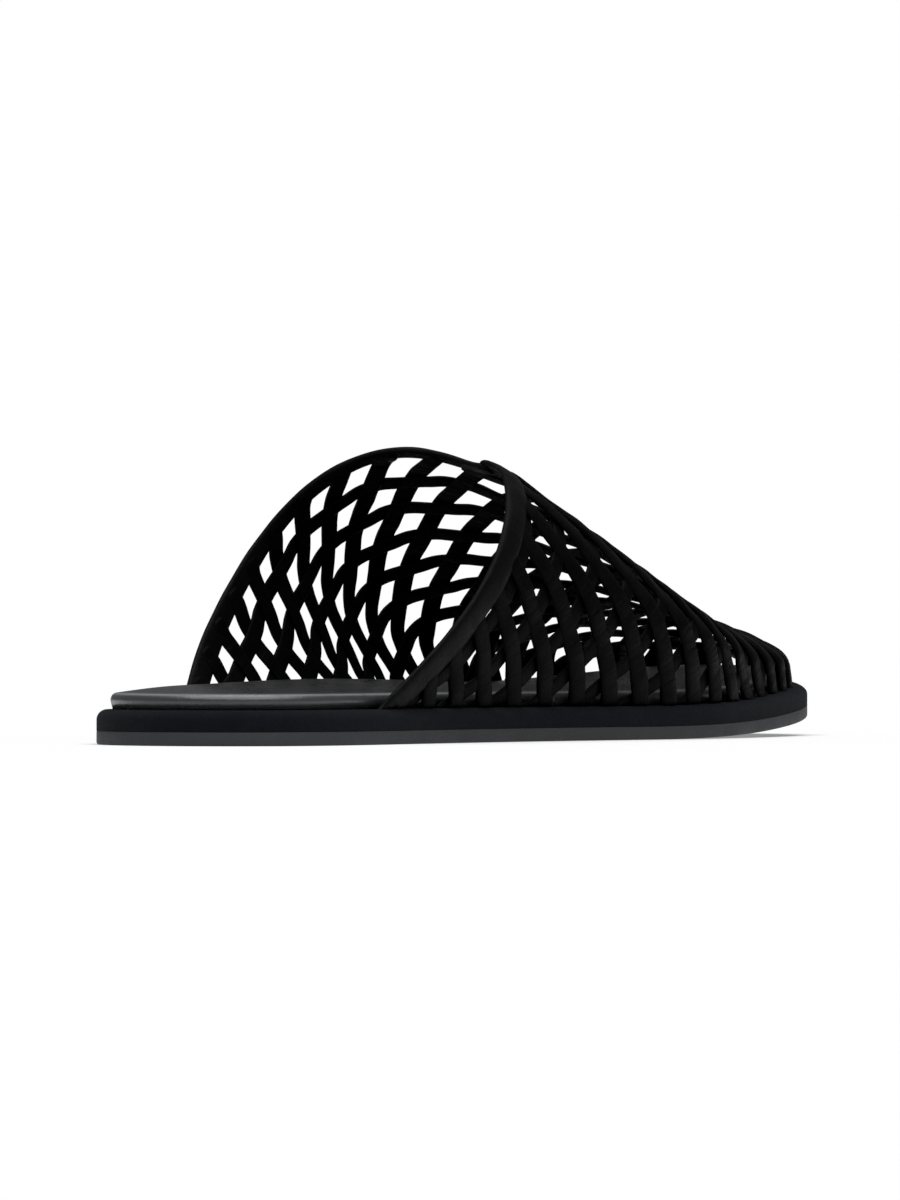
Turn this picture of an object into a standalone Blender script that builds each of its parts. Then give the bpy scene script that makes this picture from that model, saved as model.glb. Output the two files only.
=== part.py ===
"""Woven leather mule for a right foot.

Metres. +X points to the toe, +Y to the inner (medial) side of the foot, +Z up.
The sole stands on Z = 0 and its outline is centred on X = Y = 0.

The last, the solid that the upper is shaped on, is given as ribs. A rib runs from the
ridge of the foot down to the sole. Behind FAN_START the ribs stand square across the
foot, and in front of it they fan out around one point on the ridge to close the toe.
A place on the upper is a pair (x, t): x along the foot and t the distance from the
ridge, measured over the surface, positive on the inner side.
"""
import math

import bmesh
import bpy
import numpy as np

# Sole
SOLE_LENGTH = 0.258
BALL_WIDTH = 0.091
WAIST_WIDTH = 0.0645
HEEL_WIDTH = 0.066
OUTSOLE_THICKNESS = 0.0032
MIDSOLE_THICKNESS = 0.0048
TOE_SPRING = 0.0072
SPRING_START = 0.150
EDGE_ROUNDING = 0.0006
COVER_ROUNDING = 0.0022
CLEARANCE = 0.0003

# Footbed
INSOLE_THICKNESS = 0.0034
INSOLE_CROWN = 0.0016
INSOLE_ROUNDING = 0.0016
INSOLE_NARROWING = 0.006
INSOLE_TOE_ROOM = 0.0010

# Last and upper
LEDGE = 0.0033
TOE_LEDGE = 0.0048
TOE_LEDGE_START = 0.170
TOE_LEDGE_END = 0.230
COLLAR_HEIGHT = 0.0615
COLLAR_FRONT = 0.1200
COLLAR_ASIDE = -0.0034
MEDIAL_BACK = 0.0522
LATERAL_BACK = 0.0477
MEDIAL_BULGE = 0.0097
LATERAL_BULGE = 0.0074
RIDGE_SHIFT = 0.0020
FAN_LENGTH = 0.045
WALL_THICKNESS = 0.0015
STRAP_RAISE = 0.0010
BASE_MARGIN = 0.0035

# Weave, laid along two sets of lines that cross on the ridge
WEAVE_FRONT = 0.1201
WEAVE_STEP = 0.0129
WEAVE_SPREAD = 0.0103
WEAVE_SQUEEZE = 0.00073
WEAVE_TAPER = 0.0014
WEAVE_LEAN = 0.345
STRAP_SHARE = 0.47
WEAVE_LINES = 10
GAP_LIMIT = 120

# Collar band
BAND_WIDTH = 0.0065
BAND_RAISE = 0.0014
BAND_DEPTH = 0.0013
BAND_ROOM = 0.0065
BAND_CUT_BACK = 0.0095

# Outline of the sole. along is a share of SOLE_LENGTH, lateral and medial are shares of
# half the named width.
# along, lateral, medial, width
OUTLINE = [
    (0.000, 0.00, 0.00, HEEL_WIDTH),
    (0.017, 0.50, 0.50, HEEL_WIDTH),
    (0.064, 0.866, 0.866, HEEL_WIDTH),
    (0.135, 1.00, 1.00, HEEL_WIDTH),
    (0.260, 1.00, 0.98, HEEL_WIDTH),
    (0.420, 1.08, 0.97, WAIST_WIDTH),
    (0.550, 0.89, 0.82, BALL_WIDTH),
    (0.660, 1.00, 0.96, BALL_WIDTH),
    (0.740, 0.99, 1.00, BALL_WIDTH),
    (0.820, 0.92, 0.96, BALL_WIDTH),
    (0.890, 0.81, 0.86, BALL_WIDTH),
    (0.945, 0.63, 0.67, BALL_WIDTH),
    (0.983, 0.37, 0.41, BALL_WIDTH),
    (1.000, 0.00, 0.03, BALL_WIDTH),
]

# Ribs of the last. along is a share of SOLE_LENGTH, ridge a share of COLLAR_HEIGHT, shift a
# share of RIDGE_SHIFT, bulge a share of MEDIAL_BULGE or LATERAL_BULGE, widest the share of the
# rib's height where it is widest, and roundness the exponent of its upper curve, where 2 is an
# ellipse.
# along, ridge, shift, bulge, widest, roundness
RIBS = [
    (0.20, 1.288, 0.82, 1.00, 0.42, 1.935),
    (0.34, 1.134, 0.82, 1.00, 0.42, 1.935),
    (0.46, 0.998, 0.82, 1.00, 0.42, 1.935),
    (0.60, 0.697, 1.02, 0.70, 0.45, 1.845),
    (0.75, 0.419, -1.07, 0.00, 0.40, 1.75),
    (0.88, 0.282, -1.07, 0.00, 0.35, 1.75),
    (1.00, 0.190, -1.07, 0.00, 0.35, 1.75),
]

# Rear edge of the collar. aside is a share of the rib's length from the collar's front point to
# the sole, and medial and lateral are shares of the way from COLLAR_FRONT back to MEDIAL_BACK and
# to LATERAL_BACK.
# aside, medial, lateral
COLLAR = [
    (0.00, 0.000, 0.000),
    (0.07, 0.080, 0.020),
    (0.15, 0.153, 0.072),
    (0.30, 0.262, 0.224),
    (0.50, 0.429, 0.430),
    (0.75, 0.714, 0.702),
    (1.00, 1.000, 1.000),
]

STATIONS = 32
RIB_STEPS = 40
NUDGE = 0.0004

MIDSOLE_TOP = OUTSOLE_THICKNESS + CLEARANCE + MIDSOLE_THICKNESS
FAN_START = SOLE_LENGTH - LEDGE - FAN_LENGTH


def spline(xs, ys, at, closed=False):
    """Cubic spline with continuous curvature through the points (xs, ys), read at `at`."""
    xs, ys = np.asarray(xs, float), np.asarray(ys, float)
    spans = len(xs) - 1
    step = np.diff(xs)
    slope = (np.diff(ys, axis=0).T / step).T
    count = spans if closed else spans + 1
    system = np.eye(count)
    bend = np.zeros((count,) + ys.shape[1:])
    for k in range(0 if closed else 1, spans):
        before, after = step[k - 1], step[k]
        system[k, k] = 0.0
        system[k, k - 1] += before
        system[k, k] += 2 * (before + after)
        system[k, (k + 1) % count] += after
        bend[k] = 6 * (slope[k] - slope[k - 1])
    bend = np.linalg.solve(system, bend)
    if closed:
        bend = np.concatenate([bend, bend[:1]])
    at = np.asarray(at, float)
    k = np.clip(np.searchsorted(xs, at) - 1, 0, spans - 1)
    width = step[k]
    left = (xs[k + 1] - at) / width
    right = (at - xs[k]) / width
    if ys.ndim > 1:
        left, right, width = left[..., None], right[..., None], width[..., None]
    curve = (left ** 3 - left) * bend[k] + (right ** 3 - right) * bend[k + 1]
    return left * ys[k] + right * ys[k + 1] + curve * width ** 2 / 6


def trace_outline(count=1440):
    """Closed outline of the sole seen from above, from the heel round by the inner side."""
    inner = [(a * SOLE_LENGTH, m * w / 2) for a, l, m, w in OUTLINE]
    outer = [(a * SOLE_LENGTH, -l * w / 2) for a, l, m, w in OUTLINE[1:-1]]
    points = np.array(inner + outer[::-1] + inner[:1])
    length = np.r_[0, np.cumsum(np.hypot(*np.diff(points, axis=0).T))]
    return spline(length, points, np.linspace(0, length[-1], count, endpoint=False), closed=True)


def shrink(outline, inset):
    """The outline moved inwards by `inset`, square to itself."""
    along = np.roll(outline, -1, axis=0) - np.roll(outline, 1, axis=0)
    along /= np.linalg.norm(along, axis=1)[:, None]
    return outline + np.reshape(inset, (-1, 1)) * np.c_[along[:, 1], -along[:, 0]]


OUTLINE_CURVE = trace_outline()
CENTRE = (OUTLINE_CURVE.max(axis=0) + OUTLINE_CURVE.min(axis=0)) / 2


def toe_lift(x):
    """How far the sole has risen off the floor at x."""
    past = np.clip((np.asarray(x) - SPRING_START) / (SOLE_LENGTH - SPRING_START), 0, None)
    return TOE_SPRING * past ** 2


def split_sides(outline):
    """The inner and the outer side of a closed outline, each from heel to toe."""
    outline = np.roll(outline, -outline[:, 0].argmin(), axis=0)
    toe = outline[:, 0].argmax()
    return outline[:toe + 1], np.r_[outline[:1], outline[toe:][::-1]]


def ease(share):
    """A share from 0 to 1 made smooth at both ends."""
    share = np.clip(share, 0, 1)
    return share ** 2 * (3 - 2 * share)


def toe_share(x):
    """0 along the sides of the foot and 1 round the toe."""
    return ease((x - TOE_LEDGE_START) / (TOE_LEDGE_END - TOE_LEDGE_START))


def foot_inset(x):
    """How far inside the sole's edge the foot of the upper stands: further in round the toe."""
    return LEDGE + (TOE_LEDGE - LEDGE) * toe_share(x)


FOOT_CURVE = shrink(OUTLINE_CURVE, foot_inset(OUTLINE_CURVE[:, 0]))
INNER_SIDE, OUTER_SIDE = split_sides(FOOT_CURVE)


def rib_value(column, x):
    """A column of RIBS, read at x."""
    table = np.array(RIBS)
    share = np.clip(np.asarray(x) / SOLE_LENGTH, table[0, 0], table[-1, 0])
    return spline(table[:, 0], table[:, column], share)


def side_widths(x):
    """Ridge line at x, and the distances from it to the inner and to the outer side."""
    inner = np.interp(x, INNER_SIDE[:, 0], INNER_SIDE[:, 1])
    outer = np.interp(x, OUTER_SIDE[:, 0], OUTER_SIDE[:, 1])
    ridge = (inner + outer) / 2 + RIDGE_SHIFT * rib_value(2, x)
    return ridge, inner - ridge, ridge - outer


def fan_reach(angle):
    """Distance from the fan's centre to the foot of the upper, at an angle from +X."""
    spokes = FOOT_CURVE - (FAN_START, side_widths(FAN_START)[0])
    bearing = np.arctan2(spokes[:, 1], spokes[:, 0])
    order = np.argsort(bearing)
    return np.interp(angle, bearing[order], np.hypot(*spokes[order].T), period=2 * math.pi)


def rib_curves(start, angle):
    """Points down the ribs that leave the ridge at `start` in the direction `angle`.

    Above its widest level a rib is a rounded quarter curve, below it turns in to the sole.
    The last step carries on straight down past the sole, for what is trimmed there.
    """
    start, angle = np.atleast_1d(start)[:, None], np.atleast_1d(angle)[:, None]
    ridge, inner, outer = side_widths(start)
    across = np.where(np.sin(angle) >= 0, inner, outer)
    reach = np.where(start < FAN_START, across, fan_reach(angle))
    bulge = np.where(np.sin(angle) >= 0, MEDIAL_BULGE, LATERAL_BULGE) * rib_value(3, start)
    power = 2 / rib_value(5, start)
    turn = np.linspace(0, math.pi / 2, RIB_STEPS)[None]
    away = (reach + bulge) * np.sin(turn) ** power
    x = start + away * np.cos(angle)
    foot = MIDSOLE_TOP + toe_lift(x)
    top = COLLAR_HEIGHT * rib_value(1, x)
    widest = top * rib_value(4, x)
    height = foot + widest + (top - widest) * np.clip(np.cos(turn), 0, 1) ** power
    tuck = np.linspace(0, 1, 13)[None, 1:]
    away = np.c_[away, reach + bulge * (1 - tuck ** 2)]
    height = np.c_[height, foot[:, -1:] + widest[:, -1:] * (1 - tuck)]
    fall = np.c_[away[:, -1] - away[:, -2], height[:, -1] - height[:, -2]]
    fall *= 0.04 / np.linalg.norm(fall, axis=1)[:, None]
    away = np.c_[away, away[:, -1] + fall[:, 0]]
    height = np.c_[height, height[:, -1] + fall[:, 1]]
    return np.stack([start + away * np.cos(angle), ridge + away * np.sin(angle), height], axis=-1)


def rib_of(x, t):
    """The rib that passes through each place (x, t), and how far down it the place lies."""
    x, t = np.broadcast_arrays(np.asarray(x, float), np.asarray(t, float))
    square = np.where(t >= 0, math.pi / 2, -math.pi / 2)
    angle = np.where(x > FAN_START, np.arctan2(t, x - FAN_START), square)
    down = np.where(x > FAN_START, np.hypot(t, x - FAN_START), np.abs(t))
    return np.minimum(x, FAN_START), angle, down


def along_ribs(start, angle, down):
    """The points that lie `down` along each rib from the ridge."""
    curves = rib_curves(start, angle)
    steps = np.linalg.norm(np.diff(curves, axis=1), axis=2)
    length = np.c_[np.zeros(len(curves)), np.cumsum(steps, axis=1)]
    rows = zip(down, length, curves)
    return np.array([[np.interp(d, run, curve[:, k]) for k in range(3)] for d, run, curve in rows])


def girth(start, angle):
    """Length of each rib from the ridge to the sole."""
    curves = rib_curves(start, angle)[:, :-1]
    return np.linalg.norm(np.diff(curves, axis=1), axis=2).sum(axis=1)


def last_point(x, t, lift):
    """Points of the upper at the places (x, t), moved outwards from the last by `lift`."""
    here = along_ribs(*rib_of(x, t))
    ahead = along_ribs(*rib_of(x + NUDGE, t)) - along_ribs(*rib_of(x - NUDGE, t))
    aside = along_ribs(*rib_of(x, t + NUDGE)) - along_ribs(*rib_of(x, t - NUDGE))
    normal = np.cross(ahead, aside)
    normal /= np.linalg.norm(normal, axis=1)[:, None]
    return here + np.reshape(lift, (-1, 1)) * normal


COLLAR_REACH = float(girth((MEDIAL_BACK + LATERAL_BACK) / 2, math.pi / 2)[0])


def collar_edge(t):
    """x of the collar's rear edge at the distance t from the ridge."""
    table = np.array(COLLAR)
    asides = np.r_[-table[:0:-1, 0], table[:, 0]]
    medial = COLLAR_FRONT - (COLLAR_FRONT - MEDIAL_BACK) * table[:, 1]
    lateral = COLLAR_FRONT - (COLLAR_FRONT - LATERAL_BACK) * table[:, 2]
    edge = np.r_[lateral[:0:-1], medial]
    from_front = np.asarray(t, float) - COLLAR_ASIDE
    aside = from_front / (COLLAR_REACH - np.sign(from_front) * COLLAR_ASIDE)
    inside = np.clip(aside, -1, 1)
    end_slope = np.where(aside > 0, edge[-1] - edge[-2], edge[0] - edge[1]) / (asides[-1] - asides[-2])
    return spline(asides, edge, inside) + end_slope * np.abs(aside - inside)


def past_collar(x, t):
    """How far the place (x, t) lies in front of the collar's rear edge, square to that edge."""
    slope = (collar_edge(t + NUDGE) - collar_edge(t - NUDGE)) / (2 * NUDGE)
    return float((x - collar_edge(t)) / np.hypot(1, slope))


def centred(points):
    """Points measured from the heel moved to the shoe's own origin."""
    return np.asarray(points, float) - (CENTRE[0], CENTRE[1], 0)


def make_object(name, points, faces, material=None):
    """A mesh object whose faces all point outwards. Without a material it is a cutter."""
    mesh = bpy.data.meshes.new(name)
    mesh.from_pydata(centred(points).tolist(), [], faces)
    work = bmesh.new()
    work.from_mesh(mesh)
    loose = [v for v in work.verts if not v.link_faces]
    bmesh.ops.delete(work, geom=loose, context="VERTS")
    bmesh.ops.recalc_face_normals(work, faces=work.faces)
    if work.calc_volume(signed=True) < 0:
        bmesh.ops.reverse_faces(work, faces=work.faces)
    bmesh.ops.triangulate(work, faces=work.faces)
    work.to_mesh(mesh)
    work.free()
    part = bpy.data.objects.new(name, mesh)
    bpy.context.collection.objects.link(part)
    if material:
        mesh.materials.append(material)
        mesh.shade_smooth()
        mesh.set_sharp_from_angle(angle=math.radians(40))
    else:
        part.hide_render = True
        part.display_type = "WIRE"
    return part


def make_material(name, colour, roughness):
    """A plain Principled material."""
    material = bpy.data.materials.new(name)
    material.use_nodes = True
    shader = material.node_tree.nodes["Principled BSDF"]
    shader.inputs["Base Color"].default_value = (*colour, 1)
    shader.inputs["Roughness"].default_value = roughness
    shader.inputs["Metallic"].default_value = 0.0
    return material


def boolean(part, other, operation):
    """Adds an exact Boolean with `other` to `part`."""
    modifier = part.modifiers.new(other.name, "BOOLEAN")
    modifier.operation = operation
    modifier.solver = "EXACT"
    modifier.object = other


def sole_ring(inset, height):
    """A closed ring with a pair of points at each station from heel to toe.

    Height is a function of x. The ring runs from the heel by the inner side to the toe and
    back by the outer side.
    """
    inner, outer = split_sides(shrink(OUTLINE_CURVE, inset))
    share = (1 - np.cos(np.linspace(0, math.pi, STATIONS + 1))) / 2
    x = inner[0, 0] + share * (inner[-1, 0] - inner[0, 0])
    there = np.c_[x, np.interp(x, inner[:, 0], inner[:, 1])]
    back = np.c_[x, np.interp(x, outer[:, 0], outer[:, 1])][1:-1][::-1]
    ring = np.r_[there, back]
    return np.c_[ring, height(ring[:, 0])]


def make_slab(name, rings, material):
    """A solid lofted through rings from the bottom up, closed by rungs from side to side."""
    count = 2 * STATIONS
    faces = []
    for level in range(len(rings) - 1):
        low, high = level * count, (level + 1) * count
        for k in range(count):
            after = (k + 1) % count
            faces.append((low + k, low + after, high + after, high + k))
    for base in (0, (len(rings) - 1) * count):
        for k in range(STATIONS):
            rung = [base + k, base + k + 1, base + count - k - 1, base + (count - k) % count]
            faces.append(list(dict.fromkeys(rung)))
    return make_object(name, np.concatenate(rings), faces, material)


def make_outsole(material):
    """Flat rubber sole whose toe lifts off the floor."""
    top = OUTSOLE_THICKNESS
    rings = [
        sole_ring(EDGE_ROUNDING, toe_lift),
        sole_ring(0, lambda x: toe_lift(x) + EDGE_ROUNDING),
        sole_ring(0, lambda x: toe_lift(x) + top),
    ]
    return make_slab("outsole", rings, material)


def make_midsole(material):
    """Covered layer of the same outline, with a rounded upper edge."""
    low = OUTSOLE_THICKNESS + CLEARANCE
    rings = [
        sole_ring(0, lambda x: toe_lift(x) + low),
    ]
    # inward, down: shares of COVER_ROUNDING
    for inward, down in [(0.0, 1.0), (0.13, 0.5), (0.5, 0.13), (1.0, 0.0)]:
        level = MIDSOLE_TOP - down * COVER_ROUNDING
        rings.append(sole_ring(inward * COVER_ROUNDING, lambda x, z=level: toe_lift(x) + z))
    return make_slab("midsole", rings, material)


def insole_inset():
    """Inset of the footbed: level with the upper at the bare heel, inside its wall in front."""
    wall = max(WALL_THICKNESS, BAND_DEPTH) + CLEARANCE
    end = min(MEDIAL_BACK, LATERAL_BACK) - 5 * CLEARANCE
    x = OUTLINE_CURVE[:, 0]
    narrowed = wall * ease((x - end) / INSOLE_NARROWING + 1)
    return foot_inset(x) + narrowed + INSOLE_TOE_ROOM * toe_share(x)


def make_insole(material):
    """Padded footbed with a rolled edge and a slightly domed top."""
    low = MIDSOLE_TOP + CLEARANCE
    edge = insole_inset()
    side = low + INSOLE_THICKNESS - INSOLE_ROUNDING
    # inward, up: shares of INSOLE_ROUNDING
    rolled_edge = [(0.0, 0.0), (0.3, 0.72), (1.0, 1.0)]
    rings = [sole_ring(edge + 0.3 * INSOLE_ROUNDING, lambda x: toe_lift(x) + low)]
    for inward, up in rolled_edge:
        level = side + up * INSOLE_ROUNDING
        rings.append(sole_ring(edge + inward * INSOLE_ROUNDING, lambda x, z=level: toe_lift(x) + z))
    # inward is a share of half of HEEL_WIDTH, up a share of INSOLE_CROWN
    dome = [(0.16, 0.45), (0.38, 0.85), (0.66, 1.0)]
    for inward, up in dome:
        level = low + INSOLE_THICKNESS + up * INSOLE_CROWN
        rings.append(sole_ring(edge + inward * HEEL_WIDTH / 2, lambda x, z=level: toe_lift(x) + z))
    return make_slab("insole", rings, material)


def make_floor_cutter():
    """Everything below the top of the midsole, with the clearance on it."""
    rows = np.linspace(-0.02, SOLE_LENGTH + 0.02, 29)
    top = MIDSOLE_TOP + CLEARANCE + toe_lift(rows)
    side = BALL_WIDTH
    corners = []
    for x, z in zip(rows, top):
        corners += [(x, -side, z), (x, side, z), (x, side, -side), (x, -side, -side)]
    faces = [(0, 1, 2, 3)]
    for k in range(len(rows) - 1):
        low, high = 4 * k, 4 * k + 4
        faces += [(low + c, low + (c + 1) % 4, high + (c + 1) % 4, high + c) for c in range(4)]
    faces.append(tuple(range(4 * len(rows) - 4, 4 * len(rows))))
    return make_object("floor_cutter", corners, faces)


def weave_place(across, along):
    """The place (x, t) of weave line number `across` of one set and `along` of the other.

    Their difference leads away from the ridge, where the straps draw together towards the
    sole, and their sum leads to the toe. Low on the side the lines bow back to the heel.
    """
    aside = across - along + WEAVE_LEAN
    t = WEAVE_SPREAD * aside * (1 - WEAVE_SQUEEZE * aside ** 2) * (1 + WEAVE_TAPER * (across + along))
    bow = WEAVE_STEP * (0.0074 * aside ** 2 - 0.000096 * aside ** 4)
    return WEAVE_FRONT + WEAVE_STEP * (across + along) / 2 + bow, t


def weave_lift(i, j, k, l):
    """How far a strap stands off the last around the crossing (i, j).

    k and l are -1, 0 or 1: steps of half a strap across the one strap and the other. At
    every second crossing the one strap lies on top, at the rest the other.
    """
    over, under = (k, l) if (i + j) % 2 == 0 else (l, k)
    if over == 0:
        return STRAP_RAISE * (1.0 if under == 0 else 0.8)
    return STRAP_RAISE * (0.05 if under == 0 else 0.35)


def weave_cells():
    """The cells between weave lines that lie on the upper, and those left open as gaps.

    The gaps nearest the collar are the widest, so they are the ones that are cut.
    """
    cells, open_cells = [], []
    for i in range(-WEAVE_LINES, 3 * WEAVE_LINES):
        for j in range(-WEAVE_LINES, 3 * WEAVE_LINES):
            x, t = weave_place(i + 0.5, j + 0.5)
            start, angle, down = rib_of(x, t)
            above_sole = girth(start, angle)[0] - down
            past = past_collar(x, t)
            if past > 0 and abs(i - j) <= WEAVE_LINES and above_sole > -BASE_MARGIN:
                cells.append((i, j))
                if past > BAND_WIDTH / 2 and above_sole > 2 * BASE_MARGIN:
                    open_cells.append((float(np.ravel(x)[0]), i, j))
    gaps = {(i, j) for x, i, j in sorted(open_cells)[:GAP_LIMIT]}
    return cells, gaps


def make_weave(material):
    """The woven wall as one sheet of straps: raised outside, plain inside.

    Each weave line has three fine lines: the strap's two edges and its crown. A fine line is
    named by the number of its weave line and a step of -1, 0 or 1.
    """
    half = STRAP_SHARE / 2
    cells, gaps = weave_cells()
    crossings = sorted({(i + a, j + b) for i, j in cells for a in (0, 1) for b in (0, 1)})
    places, lifts, outer = [], [], {}
    for i, j in crossings:
        for k in (-1, 0, 1):
            for l in (-1, 0, 1):
                outer[i, k, j, l] = len(places)
                places.append(weave_place(i + k * half, j + l * half))
                lifts.append(weave_lift(i, j, k, l))
    places = np.array(places)
    skin = last_point(places[:, 0], places[:, 1], np.array(lifts))
    inside = [key for key in outer if key[1] and key[3]]
    inner = {key: len(skin) + n for n, key in enumerate(inside)}
    rows = [outer[key] for key in inside]
    lining = last_point(places[rows, 0], places[rows, 1], -WALL_THICKNESS)

    patches = []
    for i, j in crossings:
        patches.append([(i, -1, j, -1), (i, 1, j, -1), (i, 1, j, 1), (i, -1, j, 1)])
        if (i + 1, j) in crossings:
            patches.append([(i, 1, j, -1), (i + 1, -1, j, -1), (i + 1, -1, j, 1), (i, 1, j, 1)])
        if (i, j + 1) in crossings:
            patches.append([(i, -1, j, 1), (i, 1, j, 1), (i, 1, j + 1, -1), (i, -1, j + 1, -1)])
    for i, j in cells:
        if (i, j) not in gaps:
            patches.append([(i, 1, j, 1), (i + 1, -1, j, 1), (i + 1, -1, j + 1, -1), (i, 1, j + 1, -1)])

    faces, border = [], {}
    for corners in patches:
        faces.append([inner[key] for key in corners][::-1])
        faces += outer_faces(corners, outer)
        for one, two in zip(corners, corners[1:] + corners[:1]):
            border[one, two] = border.pop((two, one), None) is None
    for (one, two), single in border.items():
        if single and (two, one) not in border:
            faces.append(wall_face(one, two, outer, inner))
    return make_object("upper", np.r_[skin, lining], faces, material)


def crown_between(one, two):
    """The crown point between two corners of a strap's end, or None along its side."""
    if one[0] == two[0] and one[1] == -two[1] and one[2:] == two[2:]:
        return (one[0], 0, *one[2:])
    if one[2] == two[2] and one[3] == -two[3] and one[:2] == two[:2]:
        return (*one[:2], one[2], 0)
    return None


def outer_faces(corners, outer):
    """Outer faces of a patch, parted along the crowns of its straps."""
    crowns = [crown_between(a, b) for a, b in zip(corners, corners[1:] + corners[:1])]
    ring = [outer[key] for key in corners]
    if not any(crowns):
        return [ring]
    if all(crowns):
        middle = outer[corners[0][0], 0, corners[0][2], 0]
        mids = [outer[key] for key in crowns]
        return [[mids[k - 1], ring[k], mids[k], middle] for k in range(4)]
    first = 0 if crowns[0] else 1
    near, far = outer[crowns[first]], outer[crowns[first + 2]]
    turned = ring[first:] + ring[:first]
    return [[turned[0], near, far, turned[3]], [near, turned[1], turned[2], far]]


def wall_face(one, two, outer, inner):
    """The side of a strap, from its outer edge to the lining."""
    crown = crown_between(one, two)
    edge = [outer[one], outer[crown], outer[two]] if crown else [outer[one], outer[two]]
    return edge[::-1] + [inner[one], inner[two]]


def make_ribbon(name, rows, material=None):
    """A solid swept through closed cross-sections, each a row of points."""
    count = len(rows[0])
    faces = [tuple(range(count))]
    for k in range(len(rows) - 1):
        low, high = k * count, (k + 1) * count
        for c in range(count):
            after = (c + 1) % count
            faces.append((low + c, low + after, high + after, high + c))
    faces.append(tuple(range((len(rows) - 1) * count, len(rows) * count)))
    return make_object(name, np.concatenate(rows), faces, material)


def make_margin():
    """The plain lower edge of the wall, where the straps are turned under the footbed."""
    inner = np.linspace(MEDIAL_BACK + BAND_WIDTH / 2, FAN_START, 24)
    outer = np.linspace(LATERAL_BACK + BAND_WIDTH / 2, FAN_START, 24)
    turn = np.linspace(math.pi / 2, -math.pi / 2, 33)[1:-1]
    start = np.r_[inner, np.full(len(turn), FAN_START + 1e-6), outer[::-1]]
    angle = np.r_[np.full(24, math.pi / 2), turn, np.full(24, -math.pi / 2)]
    foot = girth(start, angle)
    # up, lift: the corners of the cross-section
    corners = [
        (BASE_MARGIN, 0.10 * STRAP_RAISE),
        (-BASE_MARGIN, 0.10 * STRAP_RAISE),
        (-BASE_MARGIN, -0.85 * WALL_THICKNESS),
        (BASE_MARGIN, -0.85 * WALL_THICKNESS),
    ]
    columns = []
    for up, lift in corners:
        down = foot - up
        x = np.where(start > FAN_START, FAN_START + down * np.cos(angle), start)
        columns.append(last_point(x, down * np.sin(angle), lift))
    rows = [np.array([column[k] for column in columns]) for k in range(len(start))]
    return make_ribbon("margin_join", rows)


def collar_rows(profile, steps):
    """Cross-sections along the collar. profile holds (forward of the rear edge, lift)."""
    aside = np.linspace(-1.10, 1.10, steps)
    t = COLLAR_ASIDE + aside * (COLLAR_REACH - np.sign(aside) * COLLAR_ASIDE)
    x = collar_edge(t)
    along = np.c_[np.gradient(x), np.gradient(t)]
    along /= np.linalg.norm(along, axis=1)[:, None]
    columns = []
    for forward, lift in profile:
        columns.append(last_point(x + forward * along[:, 1], t - forward * along[:, 0], lift))
    return [np.array([column[k] for column in columns]) for k in range(steps)]


def make_collar_band(material):
    """The folded strap along the collar, round over its outer face."""
    # forward is a share of BAND_WIDTH, lift a share of BAND_RAISE
    outside = [(0.0, 0.1), (0.12, 0.75), (0.5, 1.0), (0.88, 0.75), (1.0, 0.1)]
    profile = [(f * BAND_WIDTH, lift * BAND_RAISE) for f, lift in outside]
    profile += [(BAND_WIDTH, -BAND_DEPTH), (0.0, -BAND_DEPTH)]
    return make_ribbon("collar_band", collar_rows(profile, 61), material)


def make_collar_cutter():
    """The room of the collar band in the wall, and what would stand behind it."""
    forward, back, room = BAND_WIDTH + CLEARANCE, -BAND_CUT_BACK, BAND_ROOM
    profile = [(back, room), (forward, room), (forward, -room), (back, -room)]
    return make_ribbon("collar_cutter", collar_rows(profile, 61))


def main():
    """Builds the shoe."""
    for old in list(bpy.data.objects):
        bpy.data.objects.remove(old, do_unlink=True)
    rubber = make_material("rubber", (0.045, 0.048, 0.055), 0.60)
    suede = make_material("suede", (0.010, 0.011, 0.014), 0.85)
    smooth = make_material("smooth_leather", (0.045, 0.048, 0.050), 0.42)
    strap = make_material("strap_leather", (0.010, 0.010, 0.011), 0.50)

    make_outsole(rubber)
    make_midsole(suede)
    make_insole(smooth)
    floor = make_floor_cutter()
    upper = make_weave(strap)
    boolean(upper, make_margin(), "UNION")
    boolean(upper, make_collar_cutter(), "DIFFERENCE")
    boolean(upper, floor, "DIFFERENCE")
    band = make_collar_band(strap)
    boolean(band, floor, "DIFFERENCE")


main()
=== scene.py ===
# %% [markdown]
# # A woven leather mule
#
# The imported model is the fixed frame: five solids on one origin, in metres, with +X to the toe, +Y to
# the inner side of this right foot and +Z up. Its solids have the shoe's main forms. This script dresses
# them as leather, suede and rubber: loose interlaced straps, a folded collar band, a rolled footbed and
# a covered sole, each sitting in the room that its solid holds.

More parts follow.
